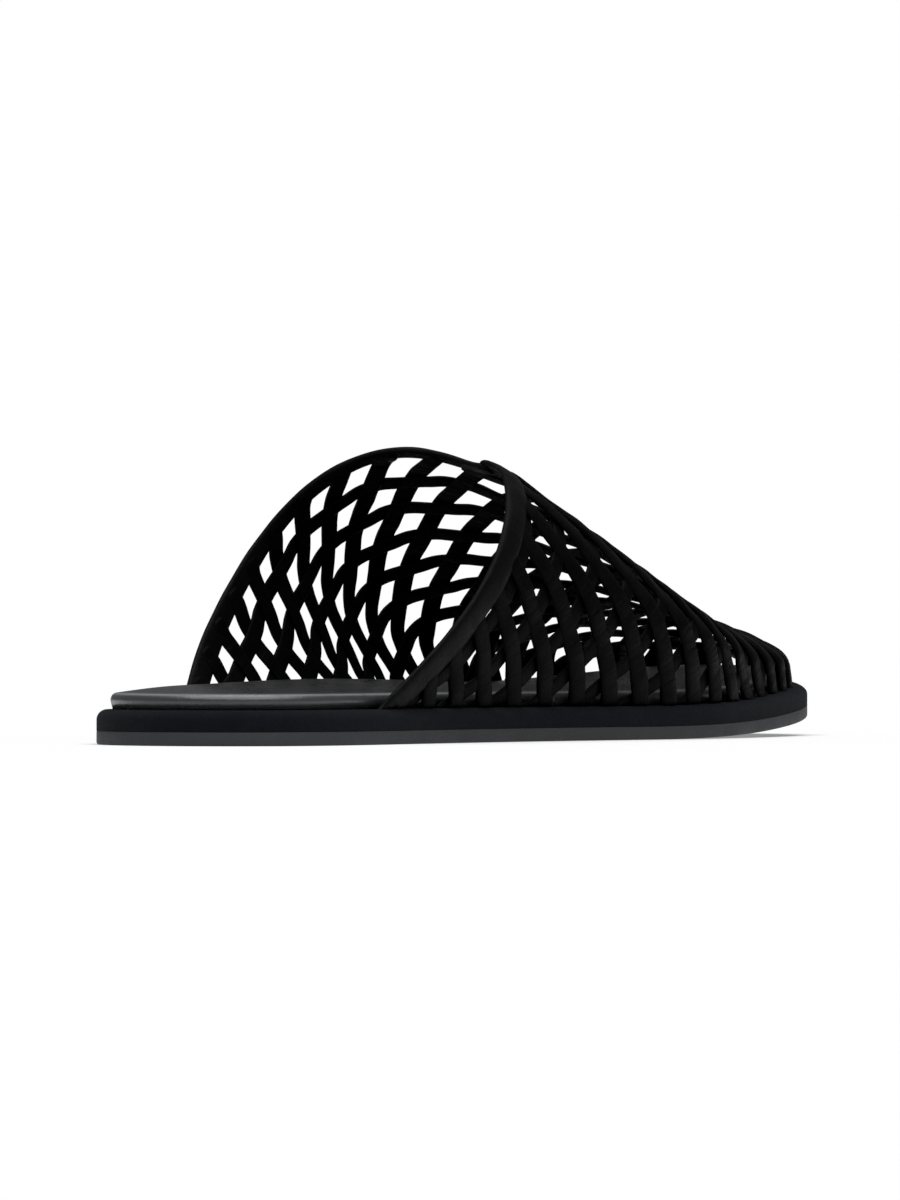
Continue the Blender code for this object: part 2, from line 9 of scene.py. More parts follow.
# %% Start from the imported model
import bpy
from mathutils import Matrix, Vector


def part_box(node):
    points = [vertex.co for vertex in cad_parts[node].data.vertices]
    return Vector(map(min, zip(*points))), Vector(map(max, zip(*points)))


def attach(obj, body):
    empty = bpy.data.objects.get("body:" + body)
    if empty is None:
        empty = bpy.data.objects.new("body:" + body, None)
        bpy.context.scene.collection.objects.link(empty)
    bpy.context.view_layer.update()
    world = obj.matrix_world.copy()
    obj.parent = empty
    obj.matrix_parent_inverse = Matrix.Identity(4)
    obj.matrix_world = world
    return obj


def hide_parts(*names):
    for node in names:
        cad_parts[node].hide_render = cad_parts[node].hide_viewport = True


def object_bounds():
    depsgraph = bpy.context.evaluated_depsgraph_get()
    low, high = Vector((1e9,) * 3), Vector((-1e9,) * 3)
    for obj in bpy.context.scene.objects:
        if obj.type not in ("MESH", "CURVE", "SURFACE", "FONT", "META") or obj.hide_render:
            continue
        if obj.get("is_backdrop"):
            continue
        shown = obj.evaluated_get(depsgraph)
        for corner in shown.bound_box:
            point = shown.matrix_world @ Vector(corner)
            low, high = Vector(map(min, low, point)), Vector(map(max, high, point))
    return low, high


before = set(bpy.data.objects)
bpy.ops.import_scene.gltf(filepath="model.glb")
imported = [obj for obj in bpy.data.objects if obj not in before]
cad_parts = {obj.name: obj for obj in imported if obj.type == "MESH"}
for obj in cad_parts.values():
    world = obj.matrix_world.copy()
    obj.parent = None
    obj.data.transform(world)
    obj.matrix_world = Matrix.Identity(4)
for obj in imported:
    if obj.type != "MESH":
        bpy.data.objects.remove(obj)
CAD_BOX = [list(corner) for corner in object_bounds()]

import math

import bpy
import numpy as np
from mathutils import Vector

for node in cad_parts:
    low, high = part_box(node)
    print(node, "measures", [round(1000 * side, 1) for side in high - low], "mm")

# %% [markdown]
# ## Where the photographer stood
#
# The shoe is seen from behind its outer side, from almost as low as the floor. A long lens keeps the
# far wall as large as the near one. The place and the aim come from fitting the sole's corners and
# the collar to the picture, and the field is set by its height, so it holds for an upright frame.

# %% Camera
VIEW_TURN = math.radians(56)
VIEW_DROP = math.radians(0.12)
VIEW_DISTANCE = 1.8
FRAME_HEIGHT = 0.2963
EYE_HEIGHT = 0.030
AIM = np.array([-0.0020, 0.0030, 0.0344])
SENSOR_HEIGHT = 36

back = np.array([
    -math.sin(VIEW_TURN) * math.cos(VIEW_DROP),
    -math.cos(VIEW_TURN) * math.cos(VIEW_DROP),
    -math.sin(VIEW_DROP),
])
camera = bpy.data.objects.new("camera", bpy.data.cameras.new("camera"))
bpy.context.collection.objects.link(camera)
camera.data.sensor_fit = "VERTICAL"
camera.data.sensor_height = SENSOR_HEIGHT
camera.data.lens = SENSOR_HEIGHT * VIEW_DISTANCE / FRAME_HEIGHT
eye = np.array([0, 0, EYE_HEIGHT]) + VIEW_DISTANCE * back
camera.location = eye
camera.rotation_euler = Vector(AIM - eye).to_track_quat("-Z", "Y").to_euler()
bpy.context.scene.camera = camera
print("camera", [round(float(c), 4) for c in eye], "lens", round(camera.data.lens, 1))

# %% [markdown]
# ## The shoemaker's measures
#
# A shoe is drawn from its sole's outline and from the last, the wooden foot that the upper is pulled
# over. The same measures shaped the solids, so the new surfaces land on them. Lengths are in metres,
# and the tables hold shares of the named lengths. x is counted from the heel, until a finished piece is
# moved to the frame's origin under the middle of the sole.

# %% Measures of the sole
SOLE_LENGTH = 0.258
BALL_WIDTH = 0.091
WAIST_WIDTH = 0.0645
HEEL_WIDTH = 0.066
MIDSOLE_TOP = 0.0083
TOE_SPRING = 0.0072
SPRING_START = 0.150
LEDGE = 0.0033
TOE_LEDGE = 0.0048
TOE_LEDGE_START = 0.170
TOE_LEDGE_END = 0.230

# along, lateral half, medial half, width
OUTLINE = [
    (0.000, 0.00, 0.00, HEEL_WIDTH), (0.017, 0.50, 0.50, HEEL_WIDTH), (0.064, 0.866, 0.866, HEEL_WIDTH),
    (0.135, 1.00, 1.00, HEEL_WIDTH), (0.260, 1.00, 0.98, HEEL_WIDTH), (0.420, 1.08, 0.97, WAIST_WIDTH),
    (0.550, 0.89, 0.82, BALL_WIDTH), (0.660, 1.00, 0.96, BALL_WIDTH), (0.740, 0.99, 1.00, BALL_WIDTH),
    (0.820, 0.92, 0.96, BALL_WIDTH), (0.890, 0.81, 0.86, BALL_WIDTH), (0.945, 0.63, 0.67, BALL_WIDTH),
    (0.983, 0.37, 0.41, BALL_WIDTH), (1.000, 0.00, 0.03, BALL_WIDTH),
]
print("sole", 1000 * SOLE_LENGTH, "mm long from", len(OUTLINE), "rows of the outline")

# %% [markdown]
# ## The sole's outline
#
# The outline is a smooth closed curve through two dozen points. A cubic spline is the right curve,
# because it keeps its bend even from point to point, as a pattern cutter's flexible rule does. The
# tables of the last are read with the same curve.

# %% Spline
def spline(xs, ys, at, closed=False):
    """Cubic spline: in each span the end heights mixed linearly, plus a cubic of the end bends."""
    xs, ys, at = np.asarray(xs, float), np.asarray(ys, float), np.asarray(at, float)
    spans = len(xs) - 1
    step = np.diff(xs)
    slope = (np.diff(ys, axis=0).T / step).T
    count = spans if closed else spans + 1
    system = np.eye(count)
    bend = np.zeros((count,) + ys.shape[1:])
    for k in range(0 if closed else 1, spans):
        system[k, k] = 0.0
        system[k, k - 1] += step[k - 1]
        system[k, k] += 2 * (step[k - 1] + step[k])
        system[k, (k + 1) % count] += step[k]
        bend[k] = 6 * (slope[k] - slope[k - 1])
    bend = np.linalg.solve(system, bend)
    bend = np.concatenate([bend, bend[:1]]) if closed else bend
    k = np.clip(np.searchsorted(xs, at) - 1, 0, spans - 1)
    width = step[k]
    left, right = (xs[k + 1] - at) / width, (at - xs[k]) / width
    if ys.ndim > 1:
        left, right, width = left[..., None], right[..., None], width[..., None]
    curve = (left ** 3 - left) * bend[k] + (right ** 3 - right) * bend[k + 1]
    return left * ys[k] + right * ys[k + 1] + curve * width ** 2 / 6


print("halfway between 0, 1 and 0 the curve reaches", round(float(spline([0, 1, 2], [0, 1, 0], 0.5)), 3))

# %% [markdown]
# Each layer of the sole follows the outline at its own inset, and all of them bend up together under
# the toes. The upper stands inside the edge on a narrow ledge, which grows wider round the toe.

# %% Outline curves
def trace_outline(count=2400):
    """The sole's outline from the heel round by the inner side, evenly spaced."""
    inner = [(a * SOLE_LENGTH, m * w / 2) for a, l, m, w in OUTLINE]
    outer = [(a * SOLE_LENGTH, -l * w / 2) for a, l, m, w in OUTLINE[1:-1]]
    points = np.array(inner + outer[::-1] + inner[:1])
    length = np.r_[0, np.cumsum(np.hypot(*np.diff(points, axis=0).T))]
    return spline(length, points, np.linspace(0, length[-1], count, endpoint=False), closed=True)


def shrink(outline, inset):
    """Every point moved inwards by the inset, square to the curve's direction."""
    along = np.roll(outline, -1, axis=0) - np.roll(outline, 1, axis=0)
    along /= np.linalg.norm(along, axis=1)[:, None]
    return outline + np.reshape(inset, (-1, 1)) * np.c_[along[:, 1], -along[:, 0]]


def split_sides(outline):
    """The inner and the outer side of a closed outline, each from heel to toe."""
    outline = np.roll(outline, -outline[:, 0].argmin(), axis=0)
    toe = outline[:, 0].argmax()
    return outline[:toe + 1], np.r_[outline[:1], outline[toe:][::-1]]


def toe_lift(x):
    """Rise of the sole at x: a parabola that starts where the toe leaves the floor."""
    past = np.clip((np.asarray(x) - SPRING_START) / (SOLE_LENGTH - SPRING_START), 0, None)
    return TOE_SPRING * past ** 2


def ease(share):
    """A share from 0 to 1 made smooth at both ends: 3 share^2 - 2 share^3."""
    share = np.clip(share, 0, 1)
    return share ** 2 * (3 - 2 * share)


def toe_share(x):
    """0 along the sides of the foot and 1 round the toe."""
    return ease((x - TOE_LEDGE_START) / (TOE_LEDGE_END - TOE_LEDGE_START))


def foot_inset(x):
    """How far inside the sole's edge the upper stands: a wider ledge is left round the toe."""
    return LEDGE + (TOE_LEDGE - LEDGE) * toe_share(x)


SOLE_CURVE = trace_outline()
CENTRE = (SOLE_CURVE.max(axis=0) + SOLE_CURVE.min(axis=0)) / 2
FOOT_CURVE = shrink(SOLE_CURVE, foot_inset(SOLE_CURVE[:, 0]))
INNER_SIDE, OUTER_SIDE = split_sides(FOOT_CURVE)
print("outline", np.round(1000 * np.ptp(SOLE_CURVE, axis=0), 1), "mm")

# %% [markdown]
# ## The last
#
# The upper has no frame of its own: it is leather strained over a last. The last is drawn as ribs
# that run from the ridge of the foot down to the sole. Behind the toes the ribs stand square across
# the foot, and round the toe they fan out from one point. Every rib is worked out once and kept in a
# table, so a place on the leather (x along the foot, t aside from the ridge) is looked up, not solved.

# %% Table of the last's surface
COLLAR_HEIGHT = 0.0615
MEDIAL_BULGE = 0.0097
LATERAL_BULGE = 0.0074
RIDGE_SHIFT = 0.0020
FAN_START = SOLE_LENGTH - LEDGE - 0.045

# along, ridge height, ridge shift, bulge, widest level, roundness
RIBS = [
    (0.20, 1.288, 0.82, 1.00, 0.42, 1.935), (0.34, 1.134, 0.82, 1.00, 0.42, 1.935),
    (0.46, 0.998, 0.82, 1.00, 0.42, 1.935), (0.60, 0.697, 1.02, 0.70, 0.45, 1.845),
    (0.75, 0.419, -1.07, 0.00, 0.40, 1.75), (0.88, 0.282, -1.07, 0.00, 0.35, 1.75),
    (1.00, 0.190, -1.07, 0.00, 0.35, 1.75),
]


def rib_value(column, x):
    """A column of RIBS at x, by spline."""
    table = np.array(RIBS)
    share = np.clip(np.asarray(x) / SOLE_LENGTH, table[0, 0], table[-1, 0])
    return spline(table[:, 0], table[:, column], share)


def side_widths(x):
    """The ridge's place at x, and the distances from it to the two sides of the foot."""
    inner = np.interp(x, INNER_SIDE[:, 0], INNER_SIDE[:, 1])
    outer = np.interp(x, OUTER_SIDE[:, 0], OUTER_SIDE[:, 1])
    ridge = (inner + outer) / 2 + RIDGE_SHIFT * rib_value(2, x)
    return ridge, inner - ridge, ridge - outer


def fan_reach(angle):
    """Distance from the fan's centre to the edge of the foot in a direction from +X."""
    spokes = FOOT_CURVE - (FAN_START, side_widths(FAN_START)[0])
    bearing = np.arctan2(spokes[:, 1], spokes[:, 0])
    order = np.argsort(bearing)
    return np.interp(angle, bearing[order], np.hypot(*spokes[order].T), period=2 * math.pi)


def rib_curves(start, angle):
    """Ribs as rows of points: a rounded quarter curve out to the widest level, a tuck back in to
    the sole, and a straight end that carries on below it."""
    start, angle = start[:, None], angle[:, None]
    ridge, inner, outer = side_widths(start)
    across = np.where(np.sin(angle) >= 0, inner, outer)
    reach = np.where(start < FAN_START, across, fan_reach(angle))
    bulge = np.where(np.sin(angle) >= 0, MEDIAL_BULGE, LATERAL_BULGE) * rib_value(3, start)
    power = 2 / rib_value(5, start)
    turn = np.linspace(0, math.pi / 2, ROUND_STEPS)[None]
    away = (reach + bulge) * np.sin(turn) ** power
    x = start + away * np.cos(angle)
    foot = MIDSOLE_TOP + toe_lift(x)
    top = COLLAR_HEIGHT * rib_value(1, x)
    widest = top * rib_value(4, x)
    height = foot + widest + (top - widest) * np.clip(np.cos(turn), 0, 1) ** power
    tuck = np.linspace(0, 1, TUCK_STEPS)[None, 1:]
    away = np.c_[away, reach + bulge * (1 - tuck ** 2)]
    height = np.c_[height, foot[:, -1:] + widest[:, -1:] * (1 - tuck)]
    fall = np.c_[away[:, -1] - away[:, -2], height[:, -1] - height[:, -2]]
    fall *= BELOW_SOLE / np.linalg.norm(fall, axis=1)[:, None]
    away = np.c_[away, away[:, -1] + fall[:, 0]]
    height = np.c_[height, height[:, -1] + fall[:, 1]]
    return np.stack([start + away * np.cos(angle), ridge + away * np.sin(angle), height], axis=-1)


SQUARE_RIBS = 170
FAN_RIBS = 141
ROUND_STEPS = 60
TUCK_STEPS = 21
DOWN_STEP = 0.0008
DOWN_REACH = 0.132
REAR_RIB = 0.030
BELOW_SOLE = 0.04

square = np.linspace(REAR_RIB, FAN_START, SQUARE_RIBS)
fan = np.linspace(math.pi / 2, -math.pi / 2, FAN_RIBS)[1:-1]
rib_start = np.r_[square, np.full(len(fan), FAN_START + 1e-6), square[::-1]]
rib_angle = np.r_[np.full(SQUARE_RIBS, math.pi / 2), fan, np.full(SQUARE_RIBS, -math.pi / 2)]
curves = rib_curves(rib_start, rib_angle)
run = np.cumsum(np.linalg.norm(np.diff(curves, axis=1, prepend=curves[:, :1]), axis=2), axis=1)
GIRTH = run[:, -2]
down_grid = np.arange(0, DOWN_REACH, DOWN_STEP)
SKIN = np.stack([
    np.stack([np.interp(down_grid, length, curve[:, k]) for k in range(3)], axis=-1)
    for length, curve in zip(run, curves)
])
normal = np.cross(np.gradient(SKIN, axis=0), np.gradient(SKIN, axis=1))
normal[:, :2] = normal[:, 2:3] + normal[::-1, 2:3]
normal[SQUARE_RIBS:-SQUARE_RIBS, :2] = normal[SQUARE_RIBS - 1, :1]
SKIN_NORMAL = normal / np.linalg.norm(normal, axis=2)[..., None]
print("table of", SKIN.shape[0], "ribs with", SKIN.shape[1], "steps")
print("longest rib", round(1000 * GIRTH.max(), 1), "mm")

# %% [markdown]
# Reading the table takes two numbers: which rib a place lies on, and how far down it. Between the
# ribs and steps the value is mixed in straight lines, which at this fine spacing is smooth to a few
# thousandths of a millimetre.

# %% Reading the table
def rib_of(x, t):
    """Rib number and distance down it. Square ribs count by x, fan ribs by their angle."""
    x, t = np.broadcast_arrays(np.asarray(x, float), np.asarray(t, float))
    back = (x - REAR_RIB) / (FAN_START - REAR_RIB) * (SQUARE_RIBS - 1)
    last_rib = len(rib_start) - 1
    turned = np.arctan2(t, x - FAN_START)
    fanned = SQUARE_RIBS - 1 + (math.pi / 2 - turned) / math.pi * (FAN_RIBS - 1)
    rib = np.where(x > FAN_START, fanned, np.where(t >= 0, back, last_rib - back))
    down = np.where(x > FAN_START, np.hypot(t, x - FAN_START), np.abs(t))
    return rib, down


def read_table(table, rib, down):
    """Value of a table between its rows and columns: the four around it, weighted by nearness."""
    rib = np.clip(rib, 0, table.shape[0] - 1.001)
    down = np.clip(down / DOWN_STEP, 0, table.shape[1] - 1.001)
    r, d = rib.astype(int), down.astype(int)
    fr, fd = (rib - r)[..., None], (down - d)[..., None]
    near = (1 - fd) * table[r, d] + fd * table[r, d + 1]
    far = (1 - fd) * table[r + 1, d] + fd * table[r + 1, d + 1]
    return (1 - fr) * near + fr * far


def on_last(x, t):
    """Points of the last's surface and its outward normals at the places (x, t)."""
    rib, down = rib_of(x, t)
    normal = read_table(SKIN_NORMAL, rib, down)
    return read_table(SKIN, rib, down), normal / np.linalg.norm(normal, axis=-1)[..., None]


print("the ridge's middle lies at", np.round(1000 * on_last(SOLE_LENGTH / 2, 0.0)[0], 1), "mm")

# %% [markdown]
# ## The collar's line
#
# The opening's edge is not the same on both sides: it starts a little to the outer side of the ridge
# and runs back in two different bends. One table gives both, as shares of the way round.

# %% Collar's edge
COLLAR_FRONT = 0.1200
COLLAR_ASIDE = -0.0034
MEDIAL_BACK = 0.0522
LATERAL_BACK = 0.0477

# aside from the collar's front point, back on the inner side, back on the outer side
COLLAR = [
    (0.00, 0.000, 0.000), (0.07, 0.080, 0.020), (0.15, 0.153, 0.072), (0.30, 0.262, 0.224),
    (0.50, 0.429, 0.430), (0.75, 0.714, 0.702), (1.00, 1.000, 1.000),
]


def above_sole(x, t):
    """Distance left along the rib before the leather reaches the sole."""
    rib, down = rib_of(x, t)
    return np.interp(rib, np.arange(len(GIRTH)), GIRTH) - down


COLLAR_REACH = GIRTH[np.searchsorted(square, (MEDIAL_BACK + LATERAL_BACK) / 2)]


def collar_edge(t):
    """x of the collar's rear edge at t: one spline through both sides of COLLAR."""
    table = np.array(COLLAR)
    asides = np.r_[-table[:0:-1, 0], table[:, 0]]
    medial = COLLAR_FRONT - (COLLAR_FRONT - MEDIAL_BACK) * table[:, 1]
    lateral = COLLAR_FRONT - (COLLAR_FRONT - LATERAL_BACK) * table[:, 2]
    edge = np.r_[lateral[:0:-1], medial]
    from_front = np.asarray(t, float) - COLLAR_ASIDE
    aside = from_front / (COLLAR_REACH - np.sign(from_front) * COLLAR_ASIDE)
    inside = np.clip(aside, -1, 1)
    end_slope = np.where(aside > 0, edge[-1] - edge[-2], edge[0] - edge[1]) / (asides[-1] - asides[-2])
    return spline(asides, edge, inside) + end_slope * np.abs(aside - inside)


def past_collar(x, t):
    """Distance in front of the collar's rear edge, measured square to that edge."""
    step = 0.0005
    slope = (collar_edge(t + step) - collar_edge(t - step)) / (2 * step)
    return (x - collar_edge(t)) / np.hypot(1, slope)


top_point = on_last(COLLAR_FRONT, 0.0)[0]
print("ridge at the collar stands", round(1000 * float(top_point[2]), 1), "mm high")

# %% [markdown]
# ## Putting a grid into a mesh
#
# Every leather piece here is a profile carried along a path, so one helper turns a grid of points
# into a closed mesh. It also keeps two facts about each point that the finishes need: how far along
# and round the strap it lies, as the UV map, and how close it is to the strap's edge.

# %% Mesh helper
def grid_faces(rows, columns, caps=True):
    """Quads of a grid that closes on itself across its columns, with a face over each end."""
    k, c = np.meshgrid(np.arange(rows - 1), np.arange(columns), indexing="ij")
    after = (c + 1) % columns
    this, next_row = k * columns, (k + 1) * columns
    quads = np.stack([this + c, this + after, next_row + after, next_row + c], axis=-1)
    faces = quads.reshape(-1, 4).tolist()
    if caps:
        faces.append(list(range(columns))[::-1])
        faces.append(list(range((rows - 1) * columns, rows * columns)))
    return faces


def add_piece(name, points, faces, node, uv=None, marks=None):
    """A smooth mesh at the shoe's own origin that stands for a CAD node."""
    mesh = bpy.data.meshes.new(name)
    mesh.from_pydata((points - (CENTRE[0], CENTRE[1], 0)).tolist(), [], faces)
    if uv is not None:
        corner = np.empty(len(mesh.loops), int)
        mesh.loops.foreach_get("vertex_index", corner)
        layer = mesh.uv_layers.new(name="strap")
        layer.data.foreach_set("uv", uv[corner].astype(np.float32).ravel())
    for label, values in (marks or {}).items():
        mesh.attributes.new(label, "FLOAT", "POINT").data.foreach_set("value", values.astype(np.float32))
    mesh.shade_smooth()
    piece = bpy.data.objects.new(name, mesh)
    bpy.context.collection.objects.link(piece)
    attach(piece, "root")
    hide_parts(node)
    print(name, "has", len(mesh.polygons), "faces")
    return piece

# %% [markdown]
# ## The weave
#
# The upper is cut from narrow folded straps, woven over and under along two crossing sets of lines.
# A flat picture of a weave would not show the white gaps or the shadows between layers, so each
# strap is its own tube. First come the lines that the straps follow. Line i of one set crosses line j
# of the other at a place worked out from i - j, which leads away from the ridge, and i + j, which
# leads to the toe. A small bow lets the lines bend as they go down the walls.

# %% Weave lines
WEAVE_FRONT = 0.1201
WEAVE_STEP = 0.0129
WEAVE_SPREAD = 0.0103
WEAVE_SQUEEZE = 0.00073
WEAVE_TAPER = 0.0014
WEAVE_LEAN = 0.345
WEAVE_BOW = 0.0074
WEAVE_COUNTER_BOW = 0.000096
BAND_WIDTH = 0.0065
TAB_START = 0.0011
TAB_DEPTH = 0.0016
STEEPEST_GLANCE = 0.40
GLANCE_START = 0.60
LINE_NUMBERS = (-12, 28)
LINE_SPAN = (-14, 34)
LINE_REACH = 12.5
ROW_STEP = 0.0009


def weave_place(across, along):
    """The place (x, t) of line `across` of one set and `along` of the other: their difference leads
    away from the ridge, their sum leads to the toe."""
    aside = across - along + WEAVE_LEAN
    t = WEAVE_SPREAD * aside * (1 - WEAVE_SQUEEZE * aside ** 2) * (1 + WEAVE_TAPER * (across + along))
    bow = WEAVE_STEP * (WEAVE_BOW * aside ** 2 - WEAVE_COUNTER_BOW * aside ** 4)
    return WEAVE_FRONT + WEAVE_STEP * (across + along) / 2 + bow, t


def line_place(family, number, s):
    """The place of the point s on a weave line. The first family is numbered across."""
    return weave_place(number, s) if family == 0 else weave_place(s, number)


def strap_reach(family, number):
    """The stretch of s where a weave line lies on the shoe, from the collar down to the sole.

    A line that meets the collar squarely starts under the band. One that only glances along it
    starts where the band ends, so it does not bulge out from under it.
    """
    s = np.linspace(*LINE_SPAN, 2400)
    x, t = line_place(family, number, s)
    past = past_collar(x, t)
    points = on_last(x, t)[0]
    pace = np.linalg.norm(np.gradient(points, axis=0), axis=1)
    crossing = np.abs(np.gradient(past)) > STEEPEST_GLANCE * pace
    inside = np.where(crossing, past > TAB_START, past > GLANCE_START * BAND_WIDTH)
    inside &= (above_sole(x, t) > -TAB_DEPTH) & (np.abs(number - s) < LINE_REACH)
    held = np.flatnonzero(inside)
    if len(held) == 0:
        return None
    runs = np.split(held, np.flatnonzero(np.diff(held) > 1) + 1)
    longest = max(runs, key=len)
    return s[longest[0]], s[longest[-1]]


def even_steps(family, number, ends):
    """Values of s that cut the line into steps of equal length on the surface."""
    s = np.linspace(*ends, 600)
    points = on_last(*line_place(family, number, s))[0]
    length = np.r_[0, np.cumsum(np.linalg.norm(np.diff(points, axis=0), axis=1))]
    count = max(6, int(length[-1] / ROW_STEP))
    even = np.linspace(0, length[-1], count)
    return np.interp(even, length, s), even


crossings = weave_place(np.array([0, 1]), np.array([0, 1]))[0]
print("crossings on the ridge are", round(1000 * float(np.diff(crossings)[0]), 1), "mm apart")

# %% [markdown]
# Straps and band are all soft tubes, a flattened round carried along a line, so they share three
# helpers: slow noise for uneven leather, the round itself, and the step that ends every tube.

# %% Helpers for soft tubes
UNDERSIDE = 0.8
OVER_COVER = 0.00005


def slow_noise(length, seed, pitch):
    """Sum of four sine waves of random phase whose wavelengths lie around the pitch."""
    random = np.random.default_rng(seed)
    waves = pitch * random.uniform(0.6, 2.2, 4)
    phases = random.uniform(0, 2 * math.pi, 4)
    return np.sin(2 * math.pi * length[:, None] / waves + phases).mean(axis=1)


def soft_round(steps, side, top, under):
    """A round of so many steps: cos(turn) ** side outwards, sin(turn) ** top up and, less deep,
    sin(turn) ** under down."""
    turn = np.linspace(0, 2 * math.pi, steps, endpoint=False)
    wide, high = np.abs(np.cos(turn)), np.abs(np.sin(turn))
    up = np.where(np.sin(turn) > 0, high ** top, -UNDERSIDE * high ** under)
    return turn, np.sign(np.cos(turn)) * wide ** side, up


def end_tube(points, length, half, turn, out):
    """A tube kept above the cover: its points, its UVs (length, way round) and its edge marks."""
    cover = MIDSOLE_TOP + toe_lift(points[..., 0]) + OVER_COVER
    points[..., 2] = np.maximum(points[..., 2], cover)
    uv = np.stack(np.broadcast_arrays(length[:, None], half[:, None] * turn[None]), axis=-1)
    edge = np.broadcast_to(np.abs(out) ** 2, uv.shape[:2])
    return points.reshape(-1, 3), uv.reshape(-1, 2), edge.ravel()


def add_tubes(name, tubes, around, node):
    """One mesh of separate closed tubes, each its points, UVs, edge marks, tone and rows."""
    points, uvs, edges, tones, rows = zip(*tubes)
    faces, base = [], 0
    for part, count in zip(points, rows):
        faces += [[base + v for v in face] for face in grid_faces(count, around)]
        base += len(part)
    tone = np.concatenate([np.full(len(edge), shade) for edge, shade in zip(edges, tones)])
    marks = {"edge": np.concatenate(edges), "tone": tone}
    return add_piece(name, np.concatenate(points), faces, node, np.concatenate(uvs), marks)


print("a round of 8 steps rises to", np.round(soft_round(8, 1, 1, 1)[2], 2).tolist())

# %% [markdown]
# A strap is a soft flattened profile, carried along its line, that rises at one crossing and dips at
# the next. Real leather straps are never even. Each has its own slow changes of width and thickness, is
# pressed thinner at a crossing, and is squeezed where its neighbours crowd it near the sole. On the
# outer wall the first set is broader and lies on top, and the second runs under it, so that wall
# reads as long steep straps.

# %% One strap
STRAP_WIDTH = 0.0050
STRAP_THICKNESS = 0.00135
INNER_RISE = 0.00036
OUTER_RISE = 0.00024
OUTER_BIAS = 0.00036
OUTER_FADE = 0.020
CROWDING = 0.47
PRESSED = 0.25
TUCK_LEVEL = -0.00030
TUCK_LENGTH = 0.003
TOE_DROP = 0.0001
SHORTEST_STRAP = 0.006
PROFILE_POINTS = 16
PROFILE_POWERS = (0.62, 0.9, 0.5)
FLAT_CROSSINGS = 1.4
UNEVEN_WIDTH = 0.05
UNEVEN_THICKNESS = 0.12
UNEVEN_LEVEL = 0.00008
TIP_LENGTH = 0.0015

# each set's extra share on the outer wall
OUTER_BROADER = (0.04, -0.14)
OUTER_THICKER = (0.35, -0.1)


def strap_tube(family, number):
    """Points, UVs, edge marks, tone and rows of one strap.

    Centre: the last's surface plus rise * (a wave that is held flat over each crossing), and down
    to TUCK_LEVEL under the band.
    Profile: a flattened round, half-width * cos(turn), half-thickness * sin(turn), both softened.
    """
    ends = strap_reach(family, number)
    if ends is None:
        return None
    s, length = even_steps(family, number, ends)
    if length[-1] < SHORTEST_STRAP:
        return None
    x, t = line_place(family, number, s)
    centre, normal = on_last(x, t)
    along = np.gradient(centre, axis=0)
    along /= np.linalg.norm(along, axis=1)[:, None]
    side = np.cross(normal, along)
    side /= np.linalg.norm(side, axis=1)[:, None]

    gaps = [
        np.abs(((on_last(*line_place(family, number + step, s))[0] - centre) * side).sum(axis=1))
        for step in (-1, 1)
    ]
    seed = 100 * family + number + 37
    sign = 1 if family == 0 else -1
    outer = ease(-t / OUTER_FADE)
    half = np.minimum(STRAP_WIDTH / 2, CROWDING * np.minimum(*gaps))
    half = half * (1 + UNEVEN_WIDTH * slow_noise(length, seed, 0.012))
    half = half * (1 + OUTER_BROADER[family] * outer)
    wave = np.tanh(FLAT_CROSSINGS * np.cos(math.pi * (s + number))) / np.tanh(FLAT_CROSSINGS)
    rise = (INNER_RISE + (OUTER_RISE - INNER_RISE) * outer) * wave + OUTER_BIAS * outer
    tucked = ease(1 - (past_collar(x, t) - BAND_WIDTH * 0.50) / TUCK_LENGTH)
    level = sign * rise * (1 - tucked) + TUCK_LEVEL * tucked
    level = level + UNEVEN_LEVEL * slow_noise(length, seed + 500, 0.009) - TOE_DROP * toe_share(x)
    near = 0.5 + 0.5 * np.cos(2 * math.pi * s)
    thick = STRAP_THICKNESS / 2 * (1 + UNEVEN_THICKNESS * slow_noise(length, seed + 900, 0.006))
    thick = thick * (1 - PRESSED * near)
    thick = thick * (1 + OUTER_THICKER[family] * outer)

    turn, out, up = soft_round(PROFILE_POINTS, *PROFILE_POWERS)
    from_end = np.clip(np.minimum(length, length[-1] - length) / TIP_LENGTH, 0, 1)
    tip = np.where(tucked > 0.5, 0.55 + 0.45 * from_end, 1.0)
    points = (centre + level[:, None] * normal)[:, None]
    points = points + (half * tip)[:, None, None] * out[None, :, None] * side[:, None]
    points = points + (thick * tip)[:, None, None] * up[None, :, None] * normal[:, None]
    tone = np.random.default_rng(seed).uniform()
    return *end_tube(points, length, half, turn, out), tone, len(s)


print("a strap is", 1000 * STRAP_WIDTH, "mm wide and", 1000 * STRAP_THICKNESS, "mm thick")

# %% [markdown]
# All straps of one set go into one mesh of separate closed tubes. Both sets together stand for the
# upper's solid.

# %% Both sets of straps
def weave_family(family, name):
    """The straps of one set of lines, for as many line numbers as can reach the shoe."""
    tubes = [tube for tube in (strap_tube(family, n) for n in range(*LINE_NUMBERS)) if tube]
    print(name, "is", len(tubes), "straps")
    return add_tubes(name, tubes, PROFILE_POINTS, "upper")


straps_inner = weave_family(0, "straps_from_inner_side")
straps_outer = weave_family(1, "straps_from_outer_side")

# %% [markdown]
# ## The collar band
#
# The straps end at the foot's opening under a leather band that is folded over them. From outside it
# is smooth and rounded, and from inside the straps' tabs lie against it. The band is two straps that
# come up from the two sides. Near the top they grow narrower, and the inner one dives under the
# rounded end of the outer one.

